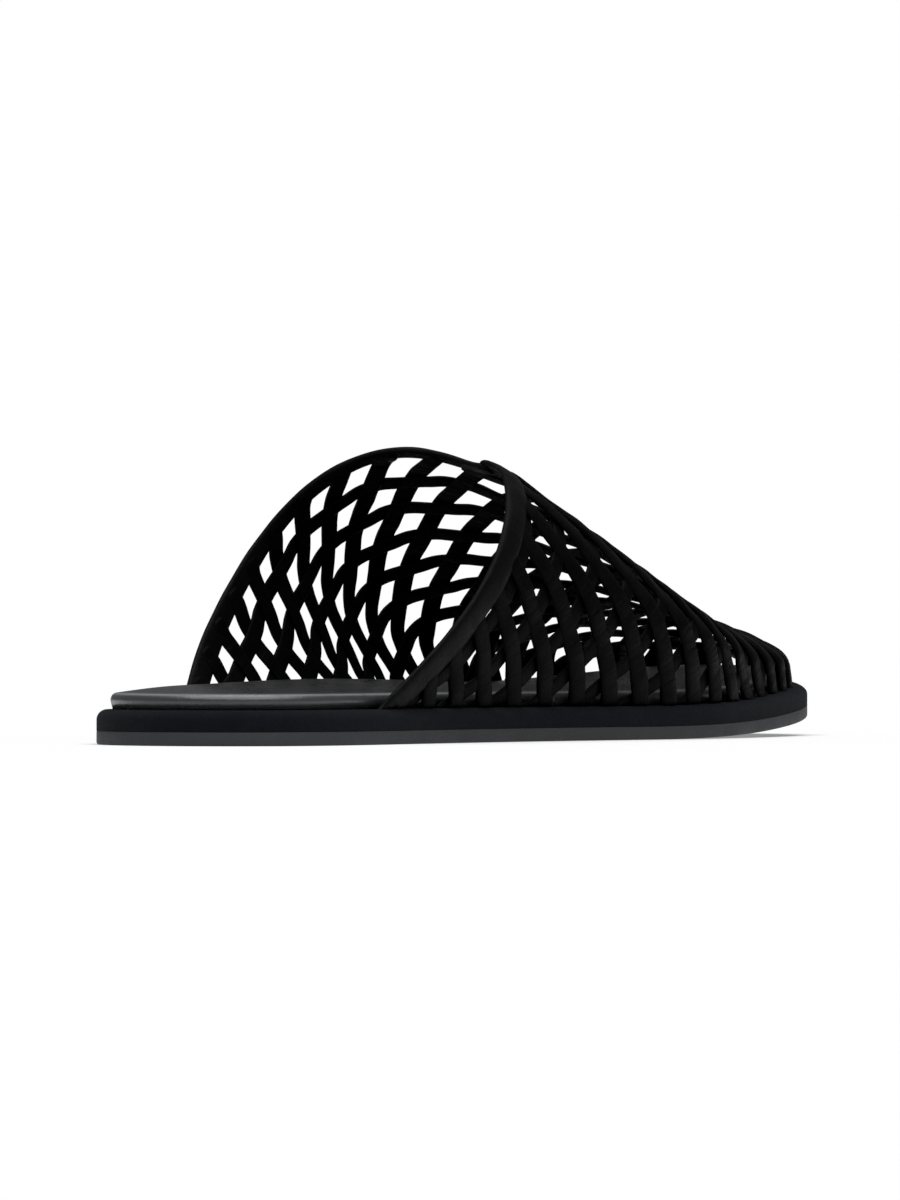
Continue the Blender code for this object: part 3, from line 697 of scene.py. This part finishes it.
# %% Collar band
BAND_ROWS = 420
BAND_POINTS = 18
BAND_HALF_THICKNESS = 0.00100
BAND_LIFT = 0.00035
BAND_POWERS = (0.7, 0.85, 0.6)
BAND_UNEVEN_WIDTH = 0.04
BAND_UNEVEN_THICKNESS = 0.10
BAND_TIP_LENGTH = 0.003
BAND_TONE = 0.5
NARROWED_AT_TOP = 0.22
NARROWED_WITHIN = 0.35
DIVE_START = 0.03
DIVE_DEPTH = 0.0013
SETTLE_START = -0.2
SETTLE_DEPTH = 0.0002
CHANGE_WITHIN = 0.10


def band_tube(start, end, lift, broad, seed):
    """A flattened round carried along the collar, half a band's width in front of its rear edge.

    start and end are shares of the way round, -1 at the outer foot and +1 at the inner foot. lift
    is a function of that share: the height of the band's middle over the last. broad is the share
    of BAND_WIDTH that this strap is wide.
    """
    rows = max(12, int(BAND_ROWS * abs(end - start) / 2.2))
    aside = np.linspace(start, end, rows)
    t = COLLAR_ASIDE + aside * (COLLAR_REACH - np.sign(aside) * COLLAR_ASIDE)
    x = collar_edge(t)
    ahead = np.c_[np.gradient(x), np.gradient(t)] * np.sign(end - start)
    ahead /= np.linalg.norm(ahead, axis=1)[:, None]
    turn, out, up = soft_round(BAND_POINTS, *BAND_POWERS)
    length = np.r_[0, np.cumsum(np.linalg.norm(np.diff(on_last(x, t)[0], axis=0), axis=1))]
    tip = np.clip((length[-1] - length) / BAND_TIP_LENGTH, 0, 1) ** 0.5
    narrowed = 1 - NARROWED_AT_TOP * ease(1 - np.abs(aside) / NARROWED_WITHIN)
    half = BAND_WIDTH / 2 * broad * (1 + BAND_UNEVEN_WIDTH * slow_noise(length, seed, 0.02))
    half = half * (0.35 + 0.65 * tip) * narrowed
    thick = BAND_HALF_THICKNESS * (1 + BAND_UNEVEN_THICKNESS * slow_noise(length, seed + 1, 0.011))
    thick = thick * (0.3 + 0.7 * tip)
    middle = BAND_WIDTH / 2 * broad * narrowed
    forward = middle[:, None] + half[:, None] * out[None]
    place_x = x[:, None] + forward * ahead[:, 1:2]
    place_t = t[:, None] - forward * ahead[:, :1]
    skin, normal = on_last(place_x, place_t)
    height = lift(aside)[:, None] + thick[:, None] * up[None]
    points = skin + height[..., None] * normal
    return *end_tube(points, length, half, turn, out), BAND_TONE, rows


def inner_lift(aside):
    """Height of the inner strap's middle: level, then down under the other strap."""
    return BAND_LIFT - DIVE_DEPTH * ease((DIVE_START - aside) / CHANGE_WITHIN)


def outer_lift(aside):
    """Height of the outer strap's middle: level, then a little lower at its rounded end."""
    return BAND_LIFT - SETTLE_DEPTH * ease((aside - SETTLE_START) / CHANGE_WITHIN)


inner = band_tube(start=1.10, end=-0.115, lift=inner_lift, broad=0.84, seed=11)
outer = band_tube(start=-1.10, end=-0.070, lift=outer_lift, broad=0.95, seed=21)
collar_fold = add_tubes("collar_fold", [inner, outer], BAND_POINTS, "collar_band")
print("the band's two straps have", inner[-1], "and", outer[-1], "rows")

# %% [markdown]
# ## The sole
#
# Under the weave lie three layers. The rubber outsole is plain and sharp-edged, the midsole is
# wrapped in suede so its upper edge is soft and round, and the footbed is a padded leather cushion
# with a rolled edge. Each is a profile of (inset, height) pairs carried round the outline. The solids
# keep 0.3 mm apart. The visible layers reach down through that to the one that they are glued to.

# %% Sole layers
OUTSOLE = 0.0032
MIDSOLE_LOW = 0.0035
GLUED_DOWN = 0.00027
CRISP_EDGE = 0.00012
FOOT_EDGE = 0.0006
COVER_EDGE = 0.0025
STATIONS = 220


def sole_loop(inset, height):
    """The outline at an inset, with a pair of points at each station from heel to toe."""
    inner, outer = split_sides(shrink(SOLE_CURVE, inset))
    share = (1 - np.cos(np.linspace(0, math.pi, STATIONS + 1))) / 2
    x = inner[0, 0] + share * (inner[-1, 0] - inner[0, 0])
    there = np.c_[x, np.interp(x, inner[:, 0], inner[:, 1])]
    back = np.c_[x, np.interp(x, outer[:, 0], outer[:, 1])][1:-1][::-1]
    loop = np.r_[there, back]
    return np.c_[loop, height + toe_lift(loop[:, 0])]


def layer(name, profile, node, slot, edge_inset=0.0, toe_spread=0.0, edge=None):
    """Carries (inset, height) pairs round the outline, bottom first, and closes both flats.

    Round the toe the insets are toe_spread wider. edge gives each pair its share of a highlight that is
    painted into the colour.
    """
    columns = 2 * STATIONS
    spread = 1 + toe_spread * toe_share(SOLE_CURVE[:, 0])
    loops = [sole_loop(edge_inset + inset * spread, height) for inset, height in profile]
    points = np.concatenate(loops)
    faces = grid_faces(len(profile), columns, caps=False)
    for base, order in ((0, -1), ((len(profile) - 1) * columns, 1)):
        for k in range(STATIONS):
            rung = [base + k, base + k + 1, base + columns - k - 1, base + (columns - k) % columns]
            faces.append(list(dict.fromkeys(rung))[::order])
    # The edge attribute carries that painted highlight to the footbed's material.
    marks = {"edge": np.repeat(edge, columns)} if edge is not None else None
    return add_piece(name, points, faces, node, marks=marks)


def quarter(side_end, size, steps):
    """A quarter round from the height where a side ends to a flat, as (inset, height) pairs.

    A negative size turns it down, and then the flat comes first.
    """
    turn = np.linspace(0, math.pi / 2, steps)
    pairs = [(abs(size) * (1 - np.cos(a)), side_end + size * np.sin(a)) for a in turn]
    return pairs if size > 0 else pairs[::-1]


low = quarter(FOOT_EDGE, -FOOT_EDGE, 5)
high = quarter(OUTSOLE - CRISP_EDGE, CRISP_EDGE, 4)
outsole = layer("sole_rubber", low + high, "outsole", "sole_rubber")

low = quarter(MIDSOLE_LOW - GLUED_DOWN + CRISP_EDGE, -CRISP_EDGE, 4)
high = quarter(MIDSOLE_TOP - COVER_EDGE, COVER_EDGE, 10)
midsole = layer("sole_cover", low + high, "midsole", "midsole_suede", toe_spread=0.9)

# %% [markdown]
# The footbed's side rolls over into a low dome. Leather that is pulled round such a roll shines along
# its shoulder, and that highlight is painted into the colour: the rows there, and a little of the side,
# are marked for a much lighter base colour. Under the inner arch of the foot the pad is raised a
# little, while its underside stays flat.

# %% Footbed
INSOLE_LOW = 0.0086
INSOLE_THICKNESS = 0.0034
INSOLE_CROWN = 0.0016
INSOLE_ROLL = 0.0017
DOME_WIDTH = 0.019
COLLAR_CLEARANCE = 0.0015
INSIDE_WALL = 0.0018
INSIDE_TOE_WALL = 0.0010
NARROWING = 0.026
ARCH_PLACE = 0.088
ARCH_LENGTH = 0.050
ARCH_ASIDE = -0.012
ARCH_SPREAD = 0.030
ARCH_RISE = 0.0020
# Where the painted highlight peaks round the roll, how wide it is, and its weaker share on the side.
HIGHLIGHT_PLACE_ON_ROLL = 0.75
HIGHLIGHT_WIDTH_ON_ROLL = 0.22
PAINTED_SIDE_SHINE = 0.15


def insole_edge():
    """Inset of the footbed: level with the upper behind the collar, inside its wall in front."""
    end = min(MEDIAL_BACK, LATERAL_BACK) - COLLAR_CLEARANCE
    x = SOLE_CURVE[:, 0]
    inside = INSIDE_WALL * ease((x - end + NARROWING) / NARROWING)
    return foot_inset(x) + inside + INSIDE_TOE_WALL * toe_share(x)


def raise_arch(piece):
    """Lifts the top by a bell curve along the foot, times an ease across it to the inner side."""
    place = np.empty(len(piece.data.vertices) * 3)
    piece.data.vertices.foreach_get("co", place)
    place = place.reshape(-1, 3)
    from_heel = place[:, 0] + CENTRE[0]
    bell = np.exp(-((from_heel - ARCH_PLACE) / ARCH_LENGTH) ** 2)
    arch = bell * ease((place[:, 1] - ARCH_ASIDE) / ARCH_SPREAD)
    above = place[:, 2] - toe_lift(from_heel) - INSOLE_LOW
    place[:, 2] += ARCH_RISE * arch * ease((above - 0.001) / 0.002)
    piece.data.vertices.foreach_set("co", place.ravel())
    return place


side_top = INSOLE_LOW + INSOLE_THICKNESS
rolled = quarter(side_top - INSOLE_ROLL, INSOLE_ROLL, 8)
dome = [
    (INSOLE_ROLL + DOME_WIDTH * a, side_top + INSOLE_CROWN * math.sin(a * math.pi / 2))
    for a in np.linspace(0, 1, 12)[1:]
]
# Painted highlight: a bell of light colour across the roll near its top, and a weaker share on the side.
round_the_roll = np.linspace(0, 1, len(rolled))
highlight_bell_on_roll = np.exp(-((round_the_roll - HIGHLIGHT_PLACE_ON_ROLL) / HIGHLIGHT_WIDTH_ON_ROLL) ** 2)
painted_shoulder_highlight = np.r_[PAINTED_SIDE_SHINE, np.maximum(PAINTED_SIDE_SHINE, highlight_bell_on_roll), PAINTED_SIDE_SHINE / 3, np.zeros(len(dome) - 1)]
profile = [(0.0005, INSOLE_LOW - GLUED_DOWN)] + rolled + dome
footbed = layer("footbed", profile, "insole", "insole_leather", insole_edge(), edge=painted_shoulder_highlight)
place = raise_arch(footbed)
print("footbed rises to", round(1000 * place[:, 2].max(), 1), "mm")

# %% [markdown]
# ## Finishes
#
# Black leather is never plain black. What the eye reads is its grain, the fine creases across a bent
# strap, edges rubbed a little lighter, and a trace of dust. Those effects are shared, so each is a
# node group with named sockets, placed in each material with its own values.

# %% Node helpers
def new_group(name, inputs, outputs):
    """An empty shader node group with named sockets."""
    group = bpy.data.node_groups.new(name, "ShaderNodeTree")
    for label, kind, value in inputs:
        socket = group.interface.new_socket(label, in_out="INPUT", socket_type="NodeSocket" + kind)
        if value is not None:
            socket.default_value = value
    for label, kind in outputs:
        group.interface.new_socket(label, in_out="OUTPUT", socket_type="NodeSocket" + kind)
    return group, group.nodes.new("NodeGroupInput"), group.nodes.new("NodeGroupOutput")


def add_node(tree, kind, **values):
    """A node of a kind, with its settings and the values of its sockets."""
    node = tree.nodes.new("ShaderNode" + kind)
    for label, value in values.items():
        if hasattr(node, label):
            setattr(node, label, value)
        else:
            node.inputs[label.replace("_", " ")].default_value = value
    return node


def ramp(tree, source, low, high, to_low=0.0, to_high=1.0):
    """A value mapped from one range to another and kept inside it."""
    node = add_node(tree, "MapRange", From_Min=low, From_Max=high, To_Min=to_low, To_Max=to_high)
    tree.links.new(source, node.inputs["Value"])
    return node.outputs["Result"]


def math_node(tree, operation, first, second):
    """Arithmetic on two sockets or numbers."""
    node = add_node(tree, "Math", operation=operation)
    for slot, value in enumerate((first, second)):
        if isinstance(value, (int, float)):
            node.inputs[slot].default_value = value
        else:
            tree.links.new(value, node.inputs[slot])
    return node.outputs[0]


def blend_colours(tree, factor, first, second):
    """Mixes two colours, each a socket or an RGB triple."""
    node = add_node(tree, "Mix", data_type="RGBA")
    tree.links.new(factor, node.inputs[0])
    for slot, value in ((6, first), (7, second)):
        if isinstance(value, tuple):
            node.inputs[slot].default_value = (*value, 1)
        else:
            tree.links.new(value, node.inputs[slot])
    return node.outputs[2]


print("node helpers ready")

# %% [markdown]
# Grain is what light shows on leather's skin: small pebbles with fine creases between them.

# %% Leather grain
def leather_grain_group():
    """Grain: pebbles from distances to scattered points, broken up by fine noise."""
    group, start, end = new_group(
        "leather_grain",
        [("Vector", "Vector", None), ("Pebble Scale", "Float", 900.0), ("Fine Scale", "Float", 2600.0)],
        [("Height", "Float"), ("Mottle", "Float")],
    )
    pebbles = add_node(group, "TexVoronoi", feature="SMOOTH_F1", Smoothness=0.6)
    fine = add_node(group, "TexNoise", Detail=3.0, Roughness=0.6)
    mottle = add_node(group, "TexNoise", Scale=110.0, Detail=4.0, Roughness=0.55)
    for node in (pebbles, fine, mottle):
        group.links.new(start.outputs["Vector"], node.inputs["Vector"])
    group.links.new(start.outputs["Pebble Scale"], pebbles.inputs["Scale"])
    group.links.new(start.outputs["Fine Scale"], fine.inputs["Scale"])
    pebble = ramp(group, pebbles.outputs["Distance"], 0.0, 0.7)
    height = math_node(group, "ADD", pebble, fine.outputs["Fac"])
    group.links.new(height, end.inputs["Height"])
    group.links.new(mottle.outputs["Fac"], end.inputs["Mottle"])
    return group


GRAIN = leather_grain_group()
print("node group", GRAIN.name)

# %% [markdown]
# A strap is rubbed grey where feet and trousers brush its edges, in patches, and fine dust settles on
# everything a little.

# %% Rubbed edges and dust
DUST_COLOUR = (0.20, 0.19, 0.18)


def rubbed_group():
    """Rubbed edges and dust: a lighter colour where a mask and noise say so, and a thin veil of
    dust in patches."""
    group, start, end = new_group(
        "rubbed_and_dusty",
        [("Vector", "Vector", None), ("Colour", "Color", None), ("Rubbed Colour", "Color", None),
         ("Edge", "Float", 0.0), ("Rubbing", "Float", 0.5), ("Dust", "Float", 0.1)],
        [("Colour", "Color"), ("Mask", "Float")],
    )
    patch = add_node(group, "TexNoise", Scale=260.0, Detail=5.0, Roughness=0.6)
    veil = add_node(group, "TexNoise", Scale=60.0, Detail=6.0, Roughness=0.7)
    for node in (patch, veil):
        group.links.new(start.outputs["Vector"], node.inputs["Vector"])
    patches = ramp(group, patch.outputs["Fac"], 0.42, 0.68)
    worn = math_node(group, "MULTIPLY", start.outputs["Edge"], patches)
    worn = math_node(group, "MULTIPLY", worn, start.outputs["Rubbing"])
    colour = blend_colours(group, worn, start.outputs["Colour"], start.outputs["Rubbed Colour"])
    cloud = ramp(group, veil.outputs["Fac"], 0.45, 0.8)
    dusty = math_node(group, "MULTIPLY", cloud, start.outputs["Dust"])
    colour = blend_colours(group, dusty, colour, DUST_COLOUR)
    group.links.new(colour, end.inputs["Colour"])
    group.links.new(worn, end.inputs["Mask"])
    return group


RUBBED = rubbed_group()
print("node group", RUBBED.name)

# %% [markdown]
# Creases run across a strap, because it is bent along its length. Noise that is read from the strap's
# own UV map, many times faster along than across, gives them.

# %% Creases
def crease_group():
    """Creases: noise stretched across the strap, so its folds run from edge to edge."""
    group, start, end = new_group(
        "strap_creases",
        [("Vector", "Vector", None), ("Along Scale", "Float", 420.0), ("Across Scale", "Float", 90.0)],
        [("Height", "Float")],
    )
    parts = add_node(group, "SeparateXYZ")
    group.links.new(start.outputs["Vector"], parts.inputs[0])
    along = math_node(group, "MULTIPLY", parts.outputs[0], start.outputs["Along Scale"])
    across = math_node(group, "MULTIPLY", parts.outputs[1], start.outputs["Across Scale"])
    joined = add_node(group, "CombineXYZ")
    group.links.new(along, joined.inputs[0])
    group.links.new(across, joined.inputs[1])
    folds = add_node(group, "TexNoise", Scale=1.0, Detail=1.2, Roughness=0.45, Distortion=0.6)
    group.links.new(joined.outputs[0], folds.inputs["Vector"])
    group.links.new(ramp(group, folds.outputs["Fac"], 0.3, 0.7), end.inputs["Height"])
    return group


CREASES = crease_group()
print("node group", CREASES.name)

# %% [markdown]
# Each material keeps its own shader and takes only patterns from the groups.

# %% Material helper
def start_material(name, roughness, specular):
    """A material with a Principled shader and Object coordinates."""
    material = bpy.data.materials.new(name)
    material.use_nodes = True
    tree = material.node_tree
    shader = tree.nodes["Principled BSDF"]
    shader.inputs["Roughness"].default_value = roughness
    shader.inputs["Specular IOR Level"].default_value = specular
    place = tree.nodes.new("ShaderNodeTexCoord").outputs["Object"]
    return material, tree, shader, place


def place_group(tree, group, vector, **values):
    """A group node with its vector linked and its named values set."""
    node = tree.nodes.new("ShaderNodeGroup")
    node.node_tree = group
    tree.links.new(vector, node.inputs["Vector"])
    for label, value in values.items():
        socket = node.inputs[label.replace("_", " ")]
        if hasattr(value, "links"):
            tree.links.new(value, socket)
        else:
            socket.default_value = value
    return node


def set_bump(tree, shader, height, strength, distance):
    """A bump from a height, on the shader's normal."""
    bump = add_node(tree, "Bump", Strength=strength, Distance=distance)
    tree.links.new(height, bump.inputs["Height"])
    tree.links.new(bump.outputs["Normal"], shader.inputs["Normal"])


def vary_roughness(tree, grain, least, most):
    """Roughness that drifts between two values with the grain's mottle."""
    return ramp(tree, grain.outputs["Mottle"], 0.3, 0.7, least, most)


dressed = (straps_inner, straps_outer, collar_fold, outsole, midsole, footbed)
print("pieces to finish:", [piece.name for piece in dressed])

# %% [markdown]
# The straps are a deep, soft black with hardly any gloss. The band is the same leather, pulled
# tighter, so it is a little smoother and lighter and has fewer creases. Each strap has its own tone.

# %% Strap leather
def strap_leather(name, colour, rubbed, roughness, specular, crease_depth):
    """Soft black leather: fine grain, creases across the strap, lighter rubbed edges."""
    material, tree, shader, place = start_material(name, roughness, specular)
    flow = add_node(tree, "UVMap", uv_map="strap").outputs["UV"]
    edge = add_node(tree, "Attribute", attribute_name="edge").outputs["Fac"]
    tone = add_node(tree, "Attribute", attribute_name="tone").outputs["Fac"]
    grain = place_group(tree, GRAIN, place, Pebble_Scale=1500.0, Fine_Scale=3600.0)
    folds = place_group(tree, CREASES, flow, Along_Scale=420.0, Across_Scale=110.0)
    base = blend_colours(tree, tone, colour, tuple(1.35 * c for c in colour))
    worn = place_group(
        tree, RUBBED, place, Colour=base, Rubbed_Colour=(*rubbed, 1), Edge=edge, Rubbing=0.6, Dust=0.010,
    )
    tree.links.new(worn.outputs["Colour"], shader.inputs["Base Color"])
    mottled = vary_roughness(tree, grain, roughness - 0.08, roughness + 0.10)
    duller = math_node(tree, "MULTIPLY", worn.outputs["Mask"], 0.1)
    tree.links.new(math_node(tree, "ADD", mottled, duller), shader.inputs["Roughness"])
    pores = math_node(tree, "MULTIPLY", grain.outputs["Height"], 0.16)
    creases = math_node(tree, "MULTIPLY", folds.outputs["Height"], crease_depth)
    set_bump(tree, shader, math_node(tree, "ADD", pores, creases), 0.7, 0.0004)
    return material


STRAP_BLACK = (0.0010, 0.0010, 0.0012)
STRAP_RUBBED = (0.0036, 0.0036, 0.0041)
BAND_BLACK = (0.0015, 0.0015, 0.0018)
BAND_RUBBED = (0.0055, 0.0055, 0.0061)
for piece in (straps_inner, straps_outer):
    finish = strap_leather("strap_leather", STRAP_BLACK, STRAP_RUBBED, 0.46, 0.030, 0.5)
    piece.data.materials.append(finish)
finish = strap_leather("band_leather", BAND_BLACK, BAND_RUBBED, 0.44, 0.052, 0.30)
collar_fold.data.materials.append(finish)
print("leather on", [piece.name for piece in (straps_inner, straps_outer, collar_fold)])

# %% [markdown]
# The three layers below are read by how they answer the same light: suede swallows it, moulded
# rubber turns it to an even dark grey, and the satin footbed gives it back in soft stripes, with a
# highlight painted into its colour along the roll.

# %% Suede, rubber and footbed
def suede():
    """Navy-black suede: a short nap in two directions, no gloss, a soft sheen."""
    material, tree, shader, place = start_material("midsole_suede", 0.92, 0.06)
    shader.inputs["Sheen Weight"].default_value = 0.02
    shader.inputs["Sheen Roughness"].default_value = 0.5
    grain = place_group(tree, GRAIN, place, Pebble_Scale=2600.0, Fine_Scale=5200.0)
    worn = place_group(
        tree, RUBBED, place, Colour=(0.0048, 0.0056, 0.0080, 1), Rubbed_Colour=(0.010, 0.011, 0.015, 1),
        Edge=ramp(tree, grain.outputs["Mottle"], 0.5, 0.7), Rubbing=0.5, Dust=0.015,
    )
    tree.links.new(worn.outputs["Colour"], shader.inputs["Base Color"])
    tree.links.new(vary_roughness(tree, grain, 0.86, 0.97), shader.inputs["Roughness"])
    set_bump(tree, shader, grain.outputs["Height"], 0.5, 0.00025)
    return material


def rubber():
    """Grey-black rubber: moulded, fine-grained, scuffed and a little dusty low down."""
    material, tree, shader, place = start_material("sole_rubber", 0.62, 0.35)
    grain = place_group(tree, GRAIN, place, Pebble_Scale=1900.0, Fine_Scale=3000.0)
    height = add_node(tree, "SeparateXYZ")
    tree.links.new(place, height.inputs[0])
    scuffed = ramp(tree, height.outputs["Z"], 0.0012, 0.0, 0.0, 1.0)
    worn = place_group(
        tree, RUBBED, place, Colour=(0.026, 0.0275, 0.0310, 1), Rubbed_Colour=(0.026, 0.027, 0.030, 1),
        Edge=scuffed, Rubbing=0.9, Dust=0.03,
    )
    tree.links.new(worn.outputs["Colour"], shader.inputs["Base Color"])
    tree.links.new(vary_roughness(tree, grain, 0.54, 0.72), shader.inputs["Roughness"])
    set_bump(tree, shader, grain.outputs["Height"], 0.35, 0.00015)
    return material


def footbed_leather():
    """Smooth satin leather: faint pores, cloudy gloss and a highlight painted as a lighter colour along
    the top of its roll.
    """
    material, tree, shader, place = start_material("insole_leather", 0.30, 0.62)
    grain = place_group(tree, GRAIN, place, Pebble_Scale=1300.0, Fine_Scale=3600.0)
    # Painted highlight: the edge attribute mixes the dark leather towards light grey along the roll.
    painted_shoulder_highlight = add_node(tree, "Attribute", attribute_name="edge").outputs["Fac"]
    base = blend_colours(tree, painted_shoulder_highlight, (0.0055, 0.0063, 0.0069), (0.19, 0.20, 0.21))
    worn = place_group(
        tree, RUBBED, place, Colour=base, Rubbed_Colour=(0.024, 0.026, 0.027, 1),
        Edge=ramp(tree, grain.outputs["Mottle"], 0.4, 0.7), Rubbing=0.5, Dust=0.02,
    )
    tree.links.new(worn.outputs["Colour"], shader.inputs["Base Color"])
    tree.links.new(vary_roughness(tree, grain, 0.24, 0.38), shader.inputs["Roughness"])
    set_bump(tree, shader, grain.outputs["Height"], 0.25, 0.00012)
    return material


midsole.data.materials.append(suede())
outsole.data.materials.append(rubber())
footbed.data.materials.append(footbed_leather())
print("finishes:", [material.name for material in bpy.data.materials])

# %% [markdown]
# ## Floor and light
#
# The picture is a shop's: white ground, white background and broad soft light from above, so black
# leather is read by its soft highlights. A lamp with a very wide disc lights the floor evenly out to
# the horizon, which one soft box over the shoe could not. The floor glows a little by itself, which
# keeps the shadow under the lifted toe pale. The sides are lit less, so the background is bright
# for the camera alone.

# %% Floor, lamps and world
def pale_floor(tint, glow):
    """A wide flat sheet of paper under the shoe, of one tint, that gives a little light itself."""
    side = 6.0
    corners = [(-side, -side, 0), (side, -side, 0), (side, side, 0), (-side, side, 0)]
    mesh = bpy.data.meshes.new("floor")
    mesh.from_pydata(corners, [], [(0, 1, 2, 3)])
    floor = bpy.data.objects.new("floor", mesh)
    bpy.context.collection.objects.link(floor)
    material, tree, shader, place = start_material("floor_paper", 0.9, 0.1)
    fibres = add_node(tree, "TexNoise", Scale=900.0, Detail=3.0)
    tree.links.new(place, fibres.inputs["Vector"])
    tree.links.new(ramp(tree, fibres.outputs["Fac"], 0.3, 0.7, 0.85, 0.95), shader.inputs["Roughness"])
    shader.inputs["Base Color"].default_value = (tint, tint, tint, 1)
    shader.inputs["Emission Color"].default_value = (1, 1, 1, 1)
    shader.inputs["Emission Strength"].default_value = glow
    mesh.materials.append(material)
    floor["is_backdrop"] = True


def top_light(turn, energy, disc):
    """A lamp as wide as the sky, turned and spread by angles in degrees."""
    data = bpy.data.lights.new("broad_top_light", "SUN")
    data.energy = energy
    data.angle = math.radians(disc)
    light = bpy.data.objects.new("broad_top_light", data)
    light.rotation_euler = [math.radians(a) for a in turn]
    bpy.context.collection.objects.link(light)


def white_world(glow, backdrop):
    """A world that lights the shoe with one strength and shows the camera another."""
    world = bpy.data.worlds.new("studio")
    bpy.context.scene.world = world
    world.use_nodes = True
    tree = world.node_tree
    tree.nodes.clear()
    dim = add_node(tree, "Background", Color=(1, 1, 1, 1), Strength=glow)
    bright = add_node(tree, "Background", Color=(1, 1, 1, 1), Strength=backdrop)
    path = tree.nodes.new("ShaderNodeLightPath")
    choose = tree.nodes.new("ShaderNodeMixShader")
    out = tree.nodes.new("ShaderNodeOutputWorld")
    tree.links.new(path.outputs["Is Camera Ray"], choose.inputs[0])
    tree.links.new(dim.outputs[0], choose.inputs[1])
    tree.links.new(bright.outputs[0], choose.inputs[2])
    tree.links.new(choose.outputs[0], out.inputs[0])


pale_floor(tint=0.62, glow=0.25)
top_light(turn=(12, -10, 0), energy=3.5, disc=75)
white_world(glow=0.17, backdrop=1.0)
view = bpy.context.scene.view_settings
view.view_transform = "Standard"
view.use_curve_mapping = True
view.curve_mapping.black_level = (0.0004, 0.0004, 0.0004)
view.curve_mapping.update()
print("lit by", [light.name for light in bpy.data.lights], "and the world", bpy.context.scene.world.name)

# %% [markdown]
# ## The last look
#
# Last, the dressed shoe is measured against the solids. Soft straps may stand a little proud of them,
# but the shoe keeps its size.

# %% Sizes, and the end
visual_box = [list(corner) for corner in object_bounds()]
grown = [[round(1000 * (v - c), 2) for v, c in zip(*pair)] for pair in zip(visual_box, CAD_BOX)]
print("box grown by (mm)", grown)
